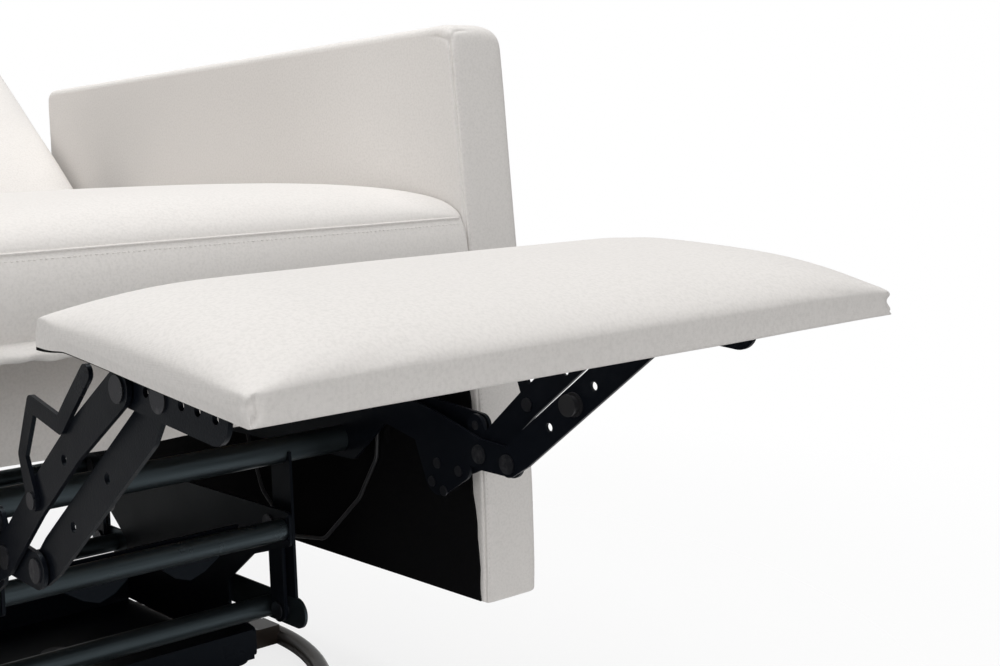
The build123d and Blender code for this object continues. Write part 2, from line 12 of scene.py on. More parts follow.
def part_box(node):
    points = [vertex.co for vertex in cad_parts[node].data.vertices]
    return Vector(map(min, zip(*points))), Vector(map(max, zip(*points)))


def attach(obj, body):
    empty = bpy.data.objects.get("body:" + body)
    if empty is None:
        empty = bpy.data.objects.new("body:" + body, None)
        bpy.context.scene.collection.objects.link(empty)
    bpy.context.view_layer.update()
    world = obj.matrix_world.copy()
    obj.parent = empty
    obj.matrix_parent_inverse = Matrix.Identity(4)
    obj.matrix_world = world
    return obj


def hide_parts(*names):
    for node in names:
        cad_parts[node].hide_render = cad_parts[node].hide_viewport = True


bl_info = {
    "name": "Glider Recliner Dressing",
    "version": (1, 0, 0),
    "blender": (4, 5, 0),
    "location": "3D View > Sidebar > Recliner",
    "description": "Upholstery, metal finishes and studio for a swivel glider recliner",
    "category": "Object",
}

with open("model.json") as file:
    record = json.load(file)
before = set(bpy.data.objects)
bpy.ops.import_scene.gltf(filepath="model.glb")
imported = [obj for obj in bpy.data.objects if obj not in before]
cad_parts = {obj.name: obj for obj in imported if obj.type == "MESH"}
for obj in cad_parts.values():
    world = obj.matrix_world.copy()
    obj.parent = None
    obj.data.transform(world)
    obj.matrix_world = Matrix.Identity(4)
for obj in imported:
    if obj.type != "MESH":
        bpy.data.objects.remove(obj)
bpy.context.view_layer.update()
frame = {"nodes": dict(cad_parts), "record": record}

# Sizes in mm, on the swivel axis, with the front towards -Y. The row frame is Y_MID further back.
Y_MID = 91.0
SEAT_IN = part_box("seat_cushion")[1].x * 1000          # half width of the seat cushion
ARM_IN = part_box("arm_left")[0].x * 1000               # inner face of an arm
ARM_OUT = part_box("arm_left")[1].x * 1000
SEAT_FRONT, SEAT_REAR, SEAT_SEAM, SEAT_LOW, ROLL_LOW = -340.0, 262.0, 466.0, 445.0, 396.0
ARM_FRONT, ARM_REAR, ARM_TOP, ARM_LOW = -350.0, 470.0, 637.0, 125.0
APRON_FRONT, APRON_LOW, APRON_TOP = -250.0, 298.0, 399.5
APRON_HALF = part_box("front_apron")[1].x * 1000
FOOT, FOOT_TILT, FOOT_DEPTH = (-541.0, 442.5), 6.0, 208.0
FOOT_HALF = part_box("footrest_pad")[1].x * 1000
BACK, BACK_LEAN = (380.0, 360.0), -52.0
BACK_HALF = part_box("back_cushion")[1].x * 1000
BACK_FACE, BACK_LOW, BACK_HIGH, POST_FRONT, BACK_REAR = 121.0, 40.0, 680.0, -45.3, 19.0
CUP = (-215.0, 330.0, 34.0, 18.0)                     # finger cup: y, z, radius, depth
CUP_SIDES = 72
HEM = 3.9                                             # cloth turned up behind the apron's edge
LIP_ROWS = 26                                         # mesh rows in the fold under the seat's roll
LINING_STEP, LINING_TOP, LINING_TAB = 300.0, 400.0, -248.0

# The photo's camera, in metres, with the directions it looks along and to its right.
CAMERA_SPOT, CAMERA_ROLL = (-0.5675, -1.3338, 0.5168), -2.76
CAMERA_AHEAD, CAMERA_RIGHT = (0.5807, 0.8132, -0.0380), (0.8138, -0.5811, 0.0)
CAMERA_SHIFT = (0.2, -0.113)
FLOOR_RADIUS = 2.6
FLOOR_FADE = (0.45, 1.6)                              # where the floor starts and ends to fade

# Distances in metres between points that follow the cloth.
GROOVE_PITCH, THREAD_PITCH = 0.0008, 0.0007


# ------------------------------------------------------------------ settings
def colour_of(name, description, default):
    return FloatVectorProperty(name=name, description=description, subtype="COLOR",
                               size=3, min=0, max=1, default=default)


def length_of(name, description, least, most, default):
    return FloatProperty(name=name, description=description, subtype="DISTANCE", unit="LENGTH",
                         min=least, max=most, default=default)


def power_of(name, description, default):
    return FloatProperty(name=name, description=description, subtype="POWER", unit="POWER",
                         min=0, max=500, default=default)


class RECLINER_PG_fabric(bpy.types.PropertyGroup):
    """Ivory upholstery cloth."""
    colour: colour_of("Cloth colour", "Colour of the yarn in full light", (0.79, 0.762, 0.735))
    heather: colour_of("Heather", "Darker yarn mixed into the cloth", (0.66, 0.637, 0.610))
    pitch: length_of("Yarn pitch", "Distance from one yarn to the next", 0.0004, 0.01, 0.0012)
    relief: length_of("Yarn relief", "Height of the weave", 0, 0.002, 0.0003)
    lining: colour_of("Lining colour", "Colour of the black lining cloth",
                      (0.0035, 0.0035, 0.004))


class RECLINER_PG_padding(bpy.types.PropertyGroup):
    """Foam and filling."""
    pitch: length_of("Mesh pitch", "Spacing of the cloth mesh before it is subdivided",
                     0.004, 0.03, 0.009)
    seat_crown: length_of("Seat crown", "Rise of the seat cushion above its seam", 0, 0.06, 0.036)
    foot_crown: length_of("Footrest crown", "Rise of the footrest pad above its edge",
                          0, 0.05, 0.0215)
    back_crown: length_of("Back crown", "Swell of the back cushion's face", 0, 0.05, 0.016)
    swell: length_of("Swell", "How far the filling may push the cloth out", 0, 0.03, 0.007)
    pressure: FloatProperty(name="Pressure", description="Filling pressure in the cloth simulation",
                            min=0, max=20, default=4.0)
    steps: IntProperty(name="Steps", description="Frames of cloth simulation",
                       min=1, max=60, default=14)


class RECLINER_PG_seams(bpy.types.PropertyGroup):
    """Seams and stitching."""
    depth: length_of("Seam depth", "How far a seam pulls the cloth in", 0, 0.006, 0.0019)
    width: length_of("Seam width", "Half width of the valley along a seam", 0.001, 0.01, 0.003)
    stitch: length_of("Stitch length", "Length of one visible stitch", 0.002, 0.02, 0.0029)
    gap: length_of("Stitch gap", "Gap between two stitches", 0.0005, 0.02, 0.0015)
    thread: length_of("Thread radius", "Radius of the sewing thread", 0.0002, 0.003, 0.00036)
    beside: length_of("Top stitch offset", "Distance from a seam to its top stitching",
                      0.002, 0.03, 0.0058)


class RECLINER_PG_metal(bpy.types.PropertyGroup):
    """Frame and mechanism finishes."""
    coat: colour_of("Powder coat", "Colour of the coated mechanism", (0.0046, 0.0056, 0.0085))
    tubes: colour_of("Tube enamel", "Colour the glossy tubes reflect", (0.065, 0.083, 0.093))
    worn_and_highlight: colour_of("Rubbed coat", "Colour where parts rub the coat thin", (0.011, 0.0125, 0.016))
    ring: colour_of("Ring enamel", "Colour of the floor ring's enamel", (0.022, 0.016, 0.012))
    pins: colour_of("Blackened pins", "Colour of rivets and pins", (0.05, 0.052, 0.06))
    wood: colour_of("Frame wood", "Colour of the softwood frame", (0.55, 0.38, 0.21))


class RECLINER_PG_studio(bpy.types.PropertyGroup):
    """Camera and lights."""
    lens: FloatProperty(name="Lens", description="Focal length", subtype="DISTANCE_CAMERA",
                        unit="CAMERA", min=10, max=200, default=49.71)
    key: power_of("Key light", "Power of the large lamp overhead", 49.0)
    front: power_of("Front light", "Power of the large lamp in front", 28.0)
    side: power_of("Side light", "Power of the small low lamp at the left", 8.5)
    room: FloatProperty(name="Room light", description="Strength of the even light all round",
                        min=0, max=2, default=0.30)
    floor: colour_of("Floor colour", "Colour of the pale floor", (0.9, 0.9, 0.9))


GROUPS = (RECLINER_PG_fabric, RECLINER_PG_padding, RECLINER_PG_seams, RECLINER_PG_metal,
          RECLINER_PG_studio)


def settings(name):
    return getattr(bpy.context.scene, "recliner_" + name)


# ------------------------------------------------------------------ shader node groups
def node_group(name, inputs, outputs):
    tree = bpy.data.node_groups.new(name, "ShaderNodeTree")
    for label, kind, value in inputs:
        sock = tree.interface.new_socket(name=label, in_out="INPUT", socket_type=kind)
        if value is not None:
            sock.default_value = value
    for label, kind in outputs:
        tree.interface.new_socket(name=label, in_out="OUTPUT", socket_type=kind)
    return tree, tree.nodes.new("NodeGroupInput"), tree.nodes.new("NodeGroupOutput")


def add(tree, kind, values=None, **settings_):
    node = tree.nodes.new(kind)
    for key, value in settings_.items():
        setattr(node, key, value)
    for key, value in (values or {}).items():
        if hasattr(value, "links"):
            tree.links.new(value, node.inputs[key])
        else:
            node.inputs[key].default_value = value
    return node


def maths(tree, operation, a, b=0.0):
    return add(tree, "ShaderNodeMath", {0: a, 1: b}, operation=operation).outputs[0]


def vector(tree, operation, values, output=0):
    return add(tree, "ShaderNodeVectorMath", values, operation=operation).outputs[output]


def grains(tree, place, scale, detail, rough=0.5):
    """Noise of a given fineness at a place."""
    return add(tree, "ShaderNodeTexNoise",
               {"Vector": place, "Scale": scale, "Detail": detail, "Roughness": rough})


def stretch(tree, value, low, high, least=0.0, most=1.0, **settings_):
    """Spreads a value from one range to another."""
    return add(tree, "ShaderNodeMapRange", {0: value, 1: low, 2: high, 3: least, 4: most},
               **settings_).outputs[0]


def weave_group():
    """Over-and-under yarns in all three directions, with thick and thin places."""
    name = "Woven Cloth"
    if name in bpy.data.node_groups:
        return bpy.data.node_groups[name]
    tree, start, end = node_group(
        name, [("Place", "NodeSocketVector", None), ("Pitch", "NodeSocketFloat", 0.0017),
               ("Slub", "NodeSocketFloat", 0.6)],
        [("Height", "NodeSocketFloat"), ("Heather", "NodeSocketFloat"),
         ("Shade", "NodeSocketFloat")])
    place, pitch, slubs = (start.outputs[key] for key in ("Place", "Pitch", "Slub"))
    per = maths(tree, "DIVIDE", math.tau, pitch)
    wobble = grains(tree, place, 55.0, 2.0)
    bend = vector(tree, "MULTIPLY", {0: wobble.outputs["Color"], 1: (0.0016, 0.0016, 0.0016)})
    moved = vector(tree, "ADD", {0: place, 1: bend})
    scaled = vector(tree, "SCALE", {0: moved, "Scale": per})
    parts = add(tree, "ShaderNodeSeparateXYZ", {0: scaled})
    sines = [maths(tree, "SINE", parts.outputs[i]) for i in range(3)]
    products = [maths(tree, "MULTIPLY", sines[a], sines[b]) for a, b in ((0, 1), (1, 2), (0, 2))]
    woven = maths(tree, "ADD", maths(tree, "ADD", products[0], products[1]), products[2])
    fibre = grains(tree, place, maths(tree, "DIVIDE", 1.3, pitch), 3.0, 0.6).outputs[0]
    slub = grains(tree, place, maths(tree, "DIVIDE", 0.55, pitch), 2.0).outputs[0]
    rough = maths(tree, "ADD", maths(tree, "MULTIPLY", fibre, slubs),
                  maths(tree, "MULTIPLY", slub, slubs))
    height = maths(tree, "ADD", maths(tree, "MULTIPLY", woven, 0.08), rough)
    tree.links.new(height, end.inputs["Height"])
    speck = stretch(tree, slub, 0.40, 0.70)
    tree.links.new(maths(tree, "MULTIPLY", speck, fibre), end.inputs["Heather"])
    soil = grains(tree, place, 5.0, 3.0, 0.55)
    tree.links.new(stretch(tree, soil.outputs[0], 0.3, 0.75), end.inputs["Shade"])
    return tree


def coat_group():
    """Orange peel of sprayed powder, rubbed streaks and settled dust. On the floor ring the rubbed
    streaks are a painted highlight instead.
    """
    name = "Sprayed Coat"
    if name in bpy.data.node_groups:
        return bpy.data.node_groups[name]
    tree, start, end = node_group(
        name, [("Place", "NodeSocketVector", None), ("Peel", "NodeSocketFloat", 900.0),
               ("Rub", "NodeSocketFloat", 0.5)],
        [("Height", "NodeSocketFloat"), ("Rubbed", "NodeSocketFloat"),
         ("Roughness", "NodeSocketFloat")])
    place = start.outputs["Place"]
    peel = grains(tree, place, start.outputs["Peel"], 2.0)
    wave = grains(tree, place, 60.0, 2.0)
    height = maths(tree, "ADD", peel.outputs[0], maths(tree, "MULTIPLY", wave.outputs[0], 0.8))
    tree.links.new(height, end.inputs["Height"])
    rub_and_highlight = grains(tree, place, 28.0, 6.0, 0.7)
    mask = stretch(tree, rub_and_highlight.outputs[0], 0.56, 0.72)
    tree.links.new(maths(tree, "MULTIPLY", mask, start.outputs["Rub"]), end.inputs["Rubbed"])
    smear = grains(tree, place, 14.0, 4.0, 0.6)
    tree.links.new(stretch(tree, smear.outputs[0], 0.3, 0.7, 0.26, 0.40), end.inputs["Roughness"])
    return tree


def grain_group():
    """Growth rings and pores of sawn softwood, running along Y."""
    name = "Sawn Grain"
    if name in bpy.data.node_groups:
        return bpy.data.node_groups[name]
    tree, start, end = node_group(
        name, [("Place", "NodeSocketVector", None), ("Rings", "NodeSocketFloat", 22.0)],
        [("Grain", "NodeSocketFloat"), ("Pore", "NodeSocketFloat")])
    squeezed = vector(tree, "MULTIPLY", {0: start.outputs["Place"], 1: (1.0, 0.09, 1.0)})
    warp = grains(tree, squeezed, 16.0, 2.0)
    shift = vector(tree, "SCALE", {0: warp.outputs["Color"], "Scale": 0.04})
    moved = vector(tree, "ADD", {0: squeezed, 1: shift})
    rings = add(tree, "ShaderNodeTexWave",
                {"Vector": moved, "Scale": start.outputs["Rings"], "Distortion": 2.0},
                wave_type="RINGS", rings_direction="Y")
    tree.links.new(rings.outputs[1], end.inputs["Grain"])
    pores = grains(tree, squeezed, 420.0, 3.0)
    tree.links.new(pores.outputs[0], end.inputs["Pore"])
    return tree


# ------------------------------------------------------------------ materials
def material(name, rough=0.5, metal=0.0, **sockets):
    mat = bpy.data.materials.new(name)
    mat.use_nodes = True
    tree = mat.node_tree
    tree.nodes.clear()
    out = tree.nodes.new("ShaderNodeOutputMaterial")
    bsdf = tree.nodes.new("ShaderNodeBsdfPrincipled")
    tree.links.new(bsdf.outputs[0], out.inputs["Surface"])
    bsdf.inputs["Roughness"].default_value = rough
    bsdf.inputs["Metallic"].default_value = metal
    for key, value in sockets.items():
        bsdf.inputs[key.replace("_", " ")].default_value = value
    place = tree.nodes.new("ShaderNodeTexCoord").outputs["Object"]
    return mat, tree, bsdf, place


def use_group(tree, group, **values):
    return add(tree, "ShaderNodeGroup", values, node_tree=group)


def mix_colour(tree, factor, a, b):
    node = add(tree, "ShaderNodeMix", {0: factor}, data_type="RGBA")
    for sock, value in ((node.inputs[6], a), (node.inputs[7], b)):
        if hasattr(value, "links"):
            tree.links.new(value, sock)
        else:
            sock.default_value = (*value, 1.0)
    return node.outputs[2]


def bump(tree, bsdf, height, distance, strength=1.0):
    node = add(tree, "ShaderNodeBump",
               {"Height": height, "Distance": distance, "Strength": strength})
    tree.links.new(node.outputs[0], bsdf.inputs["Normal"])


def cloth_material(name, colour, heather, pitch, relief, sheen=0.2, shine=0.25):
    if name in bpy.data.materials:
        return bpy.data.materials[name]
    mat, tree, bsdf, place = material(name, rough=0.9, Sheen_Weight=sheen, Sheen_Roughness=0.45,
                                      Specular_IOR_Level=shine)
    weave = use_group(tree, weave_group(), Place=place, Pitch=pitch, Slub=0.45)
    yarn = mix_colour(tree, weave.outputs["Heather"], colour, heather)
    shade = tuple(c * 0.93 for c in colour)
    tone = maths(tree, "MULTIPLY", weave.outputs["Shade"], 0.35)
    tree.links.new(mix_colour(tree, tone, yarn, shade), bsdf.inputs["Base Color"])
    bump(tree, bsdf, weave.outputs["Height"], relief, 0.55)
    return mat


def ivory():
    cloth = settings("fabric")
    return cloth_material("Ivory Woven Cloth", tuple(cloth.colour), tuple(cloth.heather),
                          cloth.pitch, cloth.relief)


def lining_cloth():
    cloth = settings("fabric")
    light = tuple(c * 1.9 for c in cloth.lining)
    return cloth_material("Black Lining Cloth", tuple(cloth.lining), light,
                          0.0011, 0.0003, 0.0, 0.1)


def thread_material():
    name = "Sewing Thread"
    if name in bpy.data.materials:
        return bpy.data.materials[name]
    colour = tuple(settings("fabric").colour)
    mat, tree, bsdf, place = material(name, rough=0.6, Sheen_Weight=0.2)
    twist = grains(tree, place, 2600.0, 1.0)
    dark = tuple(c * 0.92 for c in colour)
    tree.links.new(mix_colour(tree, twist.outputs[0], dark, colour), bsdf.inputs["Base Color"])
    bump(tree, bsdf, twist.outputs[0], 0.0002, 0.5)
    return mat


def coat_material(name, colour, worn_and_highlight, rub_and_highlight=0.5, peel=900.0, coat=0.0, metal=0.0, shine=0.5):
    if name in bpy.data.materials:
        return bpy.data.materials[name]
    mat, tree, bsdf, place = material(name, rough=0.4, metal=metal, Coat_Weight=coat,
                                      Coat_Roughness=0.12, Specular_IOR_Level=shine)
    skin = use_group(tree, coat_group(), Place=place, Peel=peel, Rub=rub_and_highlight)
    # Rubbed patches take the second colour: wear on most coats, a painted brown highlight on the
    # floor ring.
    tree.links.new(mix_colour(tree, skin.outputs["Rubbed"], colour, worn_and_highlight),
                   bsdf.inputs["Base Color"])
    tree.links.new(skin.outputs["Roughness"], bsdf.inputs["Roughness"])
    bump(tree, bsdf, skin.outputs["Height"], 0.00025, 0.35)
    return mat


def nylon():
    return coat_material("Dark Nylon", (0.018, 0.018, 0.02), (0.04, 0.04, 0.045), 0.4, 1800.0)


def wood_material():
    name = "Sawn Softwood"
    if name in bpy.data.materials:
        return bpy.data.materials[name]
    colour = tuple(settings("metal").wood)
    mat, tree, bsdf, place = material(name, rough=0.7, Specular_IOR_Level=0.3)
    grain = use_group(tree, grain_group(), Place=place, Rings=22.0)
    late = tuple(c * k for c, k in zip(colour, (0.72, 0.6, 0.48)))
    ringed = mix_colour(tree, maths(tree, "MULTIPLY", grain.outputs["Grain"], 0.6), colour, late)
    pore = maths(tree, "MULTIPLY", grain.outputs["Pore"], 0.3)
    tree.links.new(mix_colour(tree, pore, ringed, late), bsdf.inputs["Base Color"])
    bump(tree, bsdf, grain.outputs["Pore"], 0.0003, 0.5)
    return mat


# ------------------------------------------------------------------ shaping
def to_room(p):
    return Vector((p[0], p[1] - Y_MID, p[2])) / 1000


def tilted(origin, degrees):
    """Places a section drawn upright at a pivot: y and z turn about X, then move to the pivot."""
    c, s = math.cos(math.radians(degrees)), math.sin(math.radians(degrees))
    return lambda y, z: (origin[0] + y * c - z * s, origin[1] + y * s + z * c)


def steps(length, pitch):
    """Fractions of a length, closer together at the ends, where the seams are."""
    if length < 3.0:
        return [0.0, 1.0]
    ends = [d for d in (0.0, 1.0, 2.1, 3.4, 5.2, 8.2, 13.0) if d < length / 2 - 1.0]
    middle = length - 2 * ends[-1]
    count = max(1, round(middle / pitch))
    inner = [ends[-1] + middle * k / count for k in range(1, count)]
    return [d / length for d in ends + inner + [length - d for d in reversed(ends)]]


def tight(length, pitch):
    """Steps with an even closer start, beside a sunk seam."""
    close = (0.0, 0.6, 1.2, 1.8, 2.4, 3.1, 4.0, 5.2)
    return [d / length for d in close] + [t for t in steps(length, pitch) if t * length > 6.0]


def chain(points):
    """Point at a fraction of the way along straight runs."""
    lengths = [0.0]
    for p, q in zip(points, points[1:]):
        lengths.append(lengths[-1] + math.dist(p, q))

    def at(t):
        goal = t * lengths[-1]
        for k in range(1, len(points)):
            if goal <= lengths[k] or k == len(points) - 1:
                run = max(lengths[k] - lengths[k - 1], 1e-9)
                f = (goal - lengths[k - 1]) / run
                p, q = points[k - 1], points[k]
                return (p[0] + (q[0] - p[0]) * f, p[1] + (q[1] - p[1]) * f)
    return at


def bow(p, via, q, count=14):
    """Points on the arc from p through via to q."""
    ax, ay, bx, by, cx, cy = *p, *via, *q
    d = 2 * (ax * (by - cy) + bx * (cy - ay) + cx * (ay - by))
    if abs(d) < 1e-6:
        return [p, via, q]
    a, b, c = (x * x + y * y for x, y in (p, via, q))
    ux = (a * (by - cy) + b * (cy - ay) + c * (ay - by)) / d
    uy = (a * (cx - bx) + b * (ax - cx) + c * (bx - ax)) / d
    r = math.hypot(ax - ux, ay - uy)
    a0, a1, a2 = (math.atan2(y - uy, x - ux) for x, y in (p, via, q))
    forward = (a1 - a0) % math.tau < (a2 - a0) % math.tau
    sweep = (a2 - a0) % math.tau if forward else -((a0 - a2) % math.tau)
    return [(ux + r * math.cos(a0 + sweep * k / count), uy + r * math.sin(a0 + sweep * k / count))
            for k in range(count + 1)]


def patch(low, high, front, rear):
    """Blends four edge curves into a sheet: v runs front to rear, w runs low to high."""
    corner = (low(0), low(1), high(0), high(1))

    def at(v, w):
        out = []
        for a in (0, 1):
            value = (1 - w) * low(v)[a] + w * high(v)[a] + (1 - v) * front(w)[a] + v * rear(w)[a]
            value -= ((1 - v) * (1 - w) * corner[0][a] + v * (1 - w) * corner[1][a]
                      + (1 - v) * w * corner[2][a] + v * w * corner[3][a])
            out.append(value)
        return out
    return at


def rounding(d, radius):
    """How far an edge of that radius has drawn in, at a distance from the end face."""
    return 0.0 if d >= radius else radius - math.sqrt(radius ** 2 - (radius - d) ** 2)


class Block:
    """Closed cloth mesh of quads over sections across x, kept with its row addresses."""

    def __init__(self, name, span, size, section, place=None, pitch=None, warp=None, rows=None):
        pitch = pitch or settings("padding").pitch * 1000
        lo, hi = span
        rows = rows or {}
        self.xs = [lo + (hi - lo) * t for t in rows.get("x") or steps(hi - lo, pitch)]
        self.vs = rows.get("v") or steps(size[0], pitch)
        self.ws = rows.get("w") or steps(size[1], pitch)
        self.last = (len(self.xs) - 1, len(self.vs) - 1, len(self.ws) - 1)
        self.place = place or (lambda y, z: (y, z))
        self.warp = warp or (lambda x, y, z: (x, y, z))
        self.sections = {}
        self.section = section
        self.index = {}
        nx, nv, nw = self.last
        quads = []
        for i in range(nx):
            for j in range(nv):
                quads.append(((i, j, 0), (i, j + 1, 0), (i + 1, j + 1, 0), (i + 1, j, 0)))
                quads.append(((i, j, nw), (i + 1, j, nw), (i + 1, j + 1, nw), (i, j + 1, nw)))
            for k in range(nw):
                quads.append(((i, 0, k), (i + 1, 0, k), (i + 1, 0, k + 1), (i, 0, k + 1)))
                quads.append(((i, nv, k), (i, nv, k + 1), (i + 1, nv, k + 1), (i + 1, nv, k)))
        for j in range(nv):
            for k in range(nw):
                quads.append(((0, j, k), (0, j, k + 1), (0, j + 1, k + 1), (0, j + 1, k)))
                quads.append(((nx, j, k), (nx, j + 1, k), (nx, j + 1, k + 1), (nx, j, k + 1)))
        points, faces = [], []
        for quad in quads:
            face = []
            for key in quad:
                if key not in self.index:
                    self.index[key] = len(points)
                    points.append(self.point(*key))
                face.append(self.index[key])
            faces.append(face)
        mesh = bpy.data.meshes.new(name)
        mesh.from_pydata(points, [], faces)
        mesh.shade_smooth()
        self.obj = bpy.data.objects.new(name, mesh)
        bpy.context.collection.objects.link(self.obj)

    def spot(self, x, v, w):
        """Room position of any place on the block."""
        if x not in self.sections:
            self.sections[x] = self.section(x)
        x, y, z = self.warp(x, *self.sections[x](v, w))
        return to_room((x, *self.place(y, z)))

    def point(self, i, j, k):
        return self.spot(self.xs[i], self.vs[j], self.ws[k])

    def where(self, test):
        """Vertices whose row address passes the test, given i, j, k and the last of each."""
        return [v for key, v in self.index.items() if test(*key, *self.last)]

    def uprights(self, x, v, count, skip=0):
        """Two lines of room points up the block, the same on both sides."""
        return [[self.spot(side * x, v, t / count) for t in range(skip, count + 1 - skip)]
                for side in (-1, 1)]


def on_seam(i, j, k, ni, nj, nk):
    """Edges of a boxed cushion: two of the three addresses are at an end."""
    return (i in (0, ni)) + (j in (0, nj)) + (k in (0, nk)) >= 2


def rest_on(obj):
    """Applies what is on the object to its mesh."""
    bpy.context.view_layer.update()
    deps = bpy.context.evaluated_depsgraph_get()
    mesh = bpy.data.meshes.new_from_object(obj.evaluated_get(deps))
    obj.modifiers.clear()
    old, obj.data = obj.data, mesh
    mesh.name = obj.name
    bpy.data.meshes.remove(old)


def swell(obj, pinned, most):
    """Blows the cloth up against its pinned seams, then scales that swelling to a set size."""
    pad, scene = settings("padding"), bpy.context.scene
    group = obj.vertex_groups.new(name="pinned")
    group.add(pinned, 1.0, "REPLACE")
    rest = [v.co.copy() for v in obj.data.vertices]
    mod = obj.modifiers.new("Filling", "CLOTH")
    cloth = mod.settings
    cloth.vertex_group_mass = "pinned"
    cloth.quality = 5
    cloth.mass = 0.3
    cloth.tension_stiffness = cloth.compression_stiffness = 14
    cloth.shear_stiffness = 8
    cloth.bending_stiffness = 0.8
    cloth.use_pressure = True
    cloth.uniform_pressure_force = pad.pressure
    cloth.effector_weights.gravity = 0
    mod.point_cache.frame_start = 1
    mod.point_cache.frame_end = pad.steps + 1
    for number in range(1, pad.steps + 1):
        scene.frame_set(number)
    deps = bpy.context.evaluated_depsgraph_get()
    moved = [v.co.copy() for v in obj.evaluated_get(deps).data.vertices]
    obj.modifiers.remove(mod)
    scene.frame_set(1)
    shifts = [b - a for a, b in zip(rest, moved)]
    largest = max(s.length for s in shifts)
    if largest < 1e-6:
        raise RuntimeError(obj.name + ": the filling didn't move the cloth")
    share = min(1.0, most / largest)
    for vert, a, s in zip(obj.data.vertices, rest, shifts):
        vert.co = a + s * share
    obj.vertex_groups.clear()


def ripple(obj, height, size, seed):
    """Small hollows and swells that real filling leaves in a panel."""
    push = []
    for vert in obj.data.vertices:
        where = vert.co / size + Vector((seed, seed * 0.7, 1.3 * seed))
        push.append(vert.normal * (height * noise.noise(where)))
    for vert, shift in zip(obj.data.vertices, push):
        vert.co += shift


def groove(obj, lines, depth=None, width=None, push=None):
    """Pulls the cloth in along chains of room points, along its own normals or a set direction."""
    seams = settings("seams")
    depth, width = depth or seams.depth, width or seams.width
    spots = [p for line in lines for p in evenly(line, GROOVE_PITCH)]
    tree = KDTree(len(spots))
    for n, p in enumerate(spots):
        tree.insert(p, n)
    tree.balance()
    shifts = {}
    for vert in obj.data.vertices:
        near = tree.find(vert.co)[2]
        if near < 3 * width:
            shifts[vert.index] = (push or vert.normal) * (depth * math.exp(-(near / width) ** 2))
    for index, shift in shifts.items():
        obj.data.vertices[index].co -= shift


def dimple(obj, centre, radius, depth, push=None):
    """Presses a round hollow into the cloth."""
    for vert in obj.data.vertices:
        d = (vert.co - centre).length
        if d < 3 * radius:
            vert.co -= (push or vert.normal) * (depth * math.exp(-(d / radius) ** 2))


def smooth_out(obj):
    """Subdivides the cloth once."""
    mod = obj.modifiers.new("Soften", "SUBSURF")
    mod.levels = mod.render_levels = 1
    rest_on(obj)


def surface(obj):
    return BVHTree.FromPolygons([v.co for v in obj.data.vertices],
                                [p.vertices for p in obj.data.polygons])


def evenly(line, pitch):
    """Room points close together along straight runs."""
    points = []
    for a, b in zip(line, line[1:]):
        count = max(1, round((b - a).length / pitch))
        points += [a.lerp(b, k / count) for k in range(count)]
    return points + [line[-1]]


def settle(tree, line, lift=0.0):
    """Lays a chain of room points on the cloth and gives evenly spaced points and normals."""
    out = []
    for p in evenly(line, THREAD_PITCH):
        place, normal, _, _ = tree.find_nearest(p)
        out.append((place + normal * lift, normal))
    return out


def tube(bm, line, radius, sides=6):
    """Round rod with domed ends along points and normals."""
    rings = []
    last = len(line) - 1
    for n, (place, normal) in enumerate(line):
        ahead = line[min(n + 1, last)][0] - line[max(n - 1, 0)][0]
        if ahead.length < 1e-9:
            continue
        ahead.normalize()
        across = ahead.cross(normal).normalized()
        up = across.cross(ahead)
        r = radius * (0.45 if n in (0, last) else 1.0)
        rings.append([bm.verts.new(place + (across * math.cos(a) + up * math.sin(a)) * r)
                      for a in (math.tau * k / sides for k in range(sides))])
    for p, q in zip(rings, rings[1:]):
        for k in range(sides):
            bm.faces.new((p[k], p[(k + 1) % sides], q[(k + 1) % sides], q[k]))
    bm.faces.new(rings[0][::-1])
    bm.faces.new(rings[-1])


def finish_mesh(name, bm, mat, smooth=True):
    bmesh.ops.recalc_face_normals(bm, faces=bm.faces)
    mesh = bpy.data.meshes.new(name)
    bm.to_mesh(mesh)
    bm.free()
    if smooth:
        mesh.shade_smooth()
    obj = bpy.data.objects.new(name, mesh)
    bpy.context.collection.objects.link(obj)
    obj.data.materials.append(mat)
    return obj


def stitch(name, cloth, lines, body):
    """Rows of thread, each stitch half sunk in the cloth, its ends a little deeper."""
    seams = settings("seams")
    dip = 0.0006
    tree = surface(cloth)
    bm = bmesh.new()
    for line in lines:
        laid = settle(tree, line)
        run, dash, lengths = seams.stitch + seams.gap, [], 0.0
        for n, (place, normal) in enumerate(laid):
            if n:
                lengths += (place - laid[n - 1][0]).length
            phase = lengths % run
            if phase < seams.stitch:
                height = 0.55 if dip < phase < seams.stitch - dip else -0.2
                dash.append((place + normal * seams.thread * height, normal))
            elif dash:
                if len(dash) > 2:
                    tube(bm, dash, seams.thread)
                dash = []
    dress(finish_mesh(name, bm, thread_material()), body)


def bead(name, cloth, lines, radius, body, lift=0.0):
    """Cord of turned cloth standing in a seam."""
    tree = surface(cloth)
    bm = bmesh.new()
    for line in lines:
        tube(bm, settle(tree, line, lift)[::3], radius, 8)
    dress(finish_mesh(name, bm, ivory()), body)


def dress(obj, body, node=None, slot="upholstery"):
    """Puts a piece on its body, in its slot and in place of its solid."""
    if not obj.data.materials:
        obj.data.materials.append(lining_cloth() if slot == "lining" else ivory())
    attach(obj, body)
    if node:
        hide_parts(node)


def roll_over(d, reach, power=2.6):
    """Rise of stuffed cloth from its edge: steep at first, 1 from the reach inwards."""
    return (1 - (1 - min(max(d, 0.0) / reach, 1.0)) ** power) ** (1 / power)


def bulge(t, power, firmness):
    """Rise of stuffed cloth between two edges, at t = 0 and t = 1."""
    return max(0.0, 1 - abs(2 * t - 1) ** power) ** firmness


def near_both_ends(count=48):
    """Fractions from 0 to 1 that crowd at both ends."""
    return [0.5 - 0.5 * math.cos(math.pi * k / count) for k in range(count + 1)]


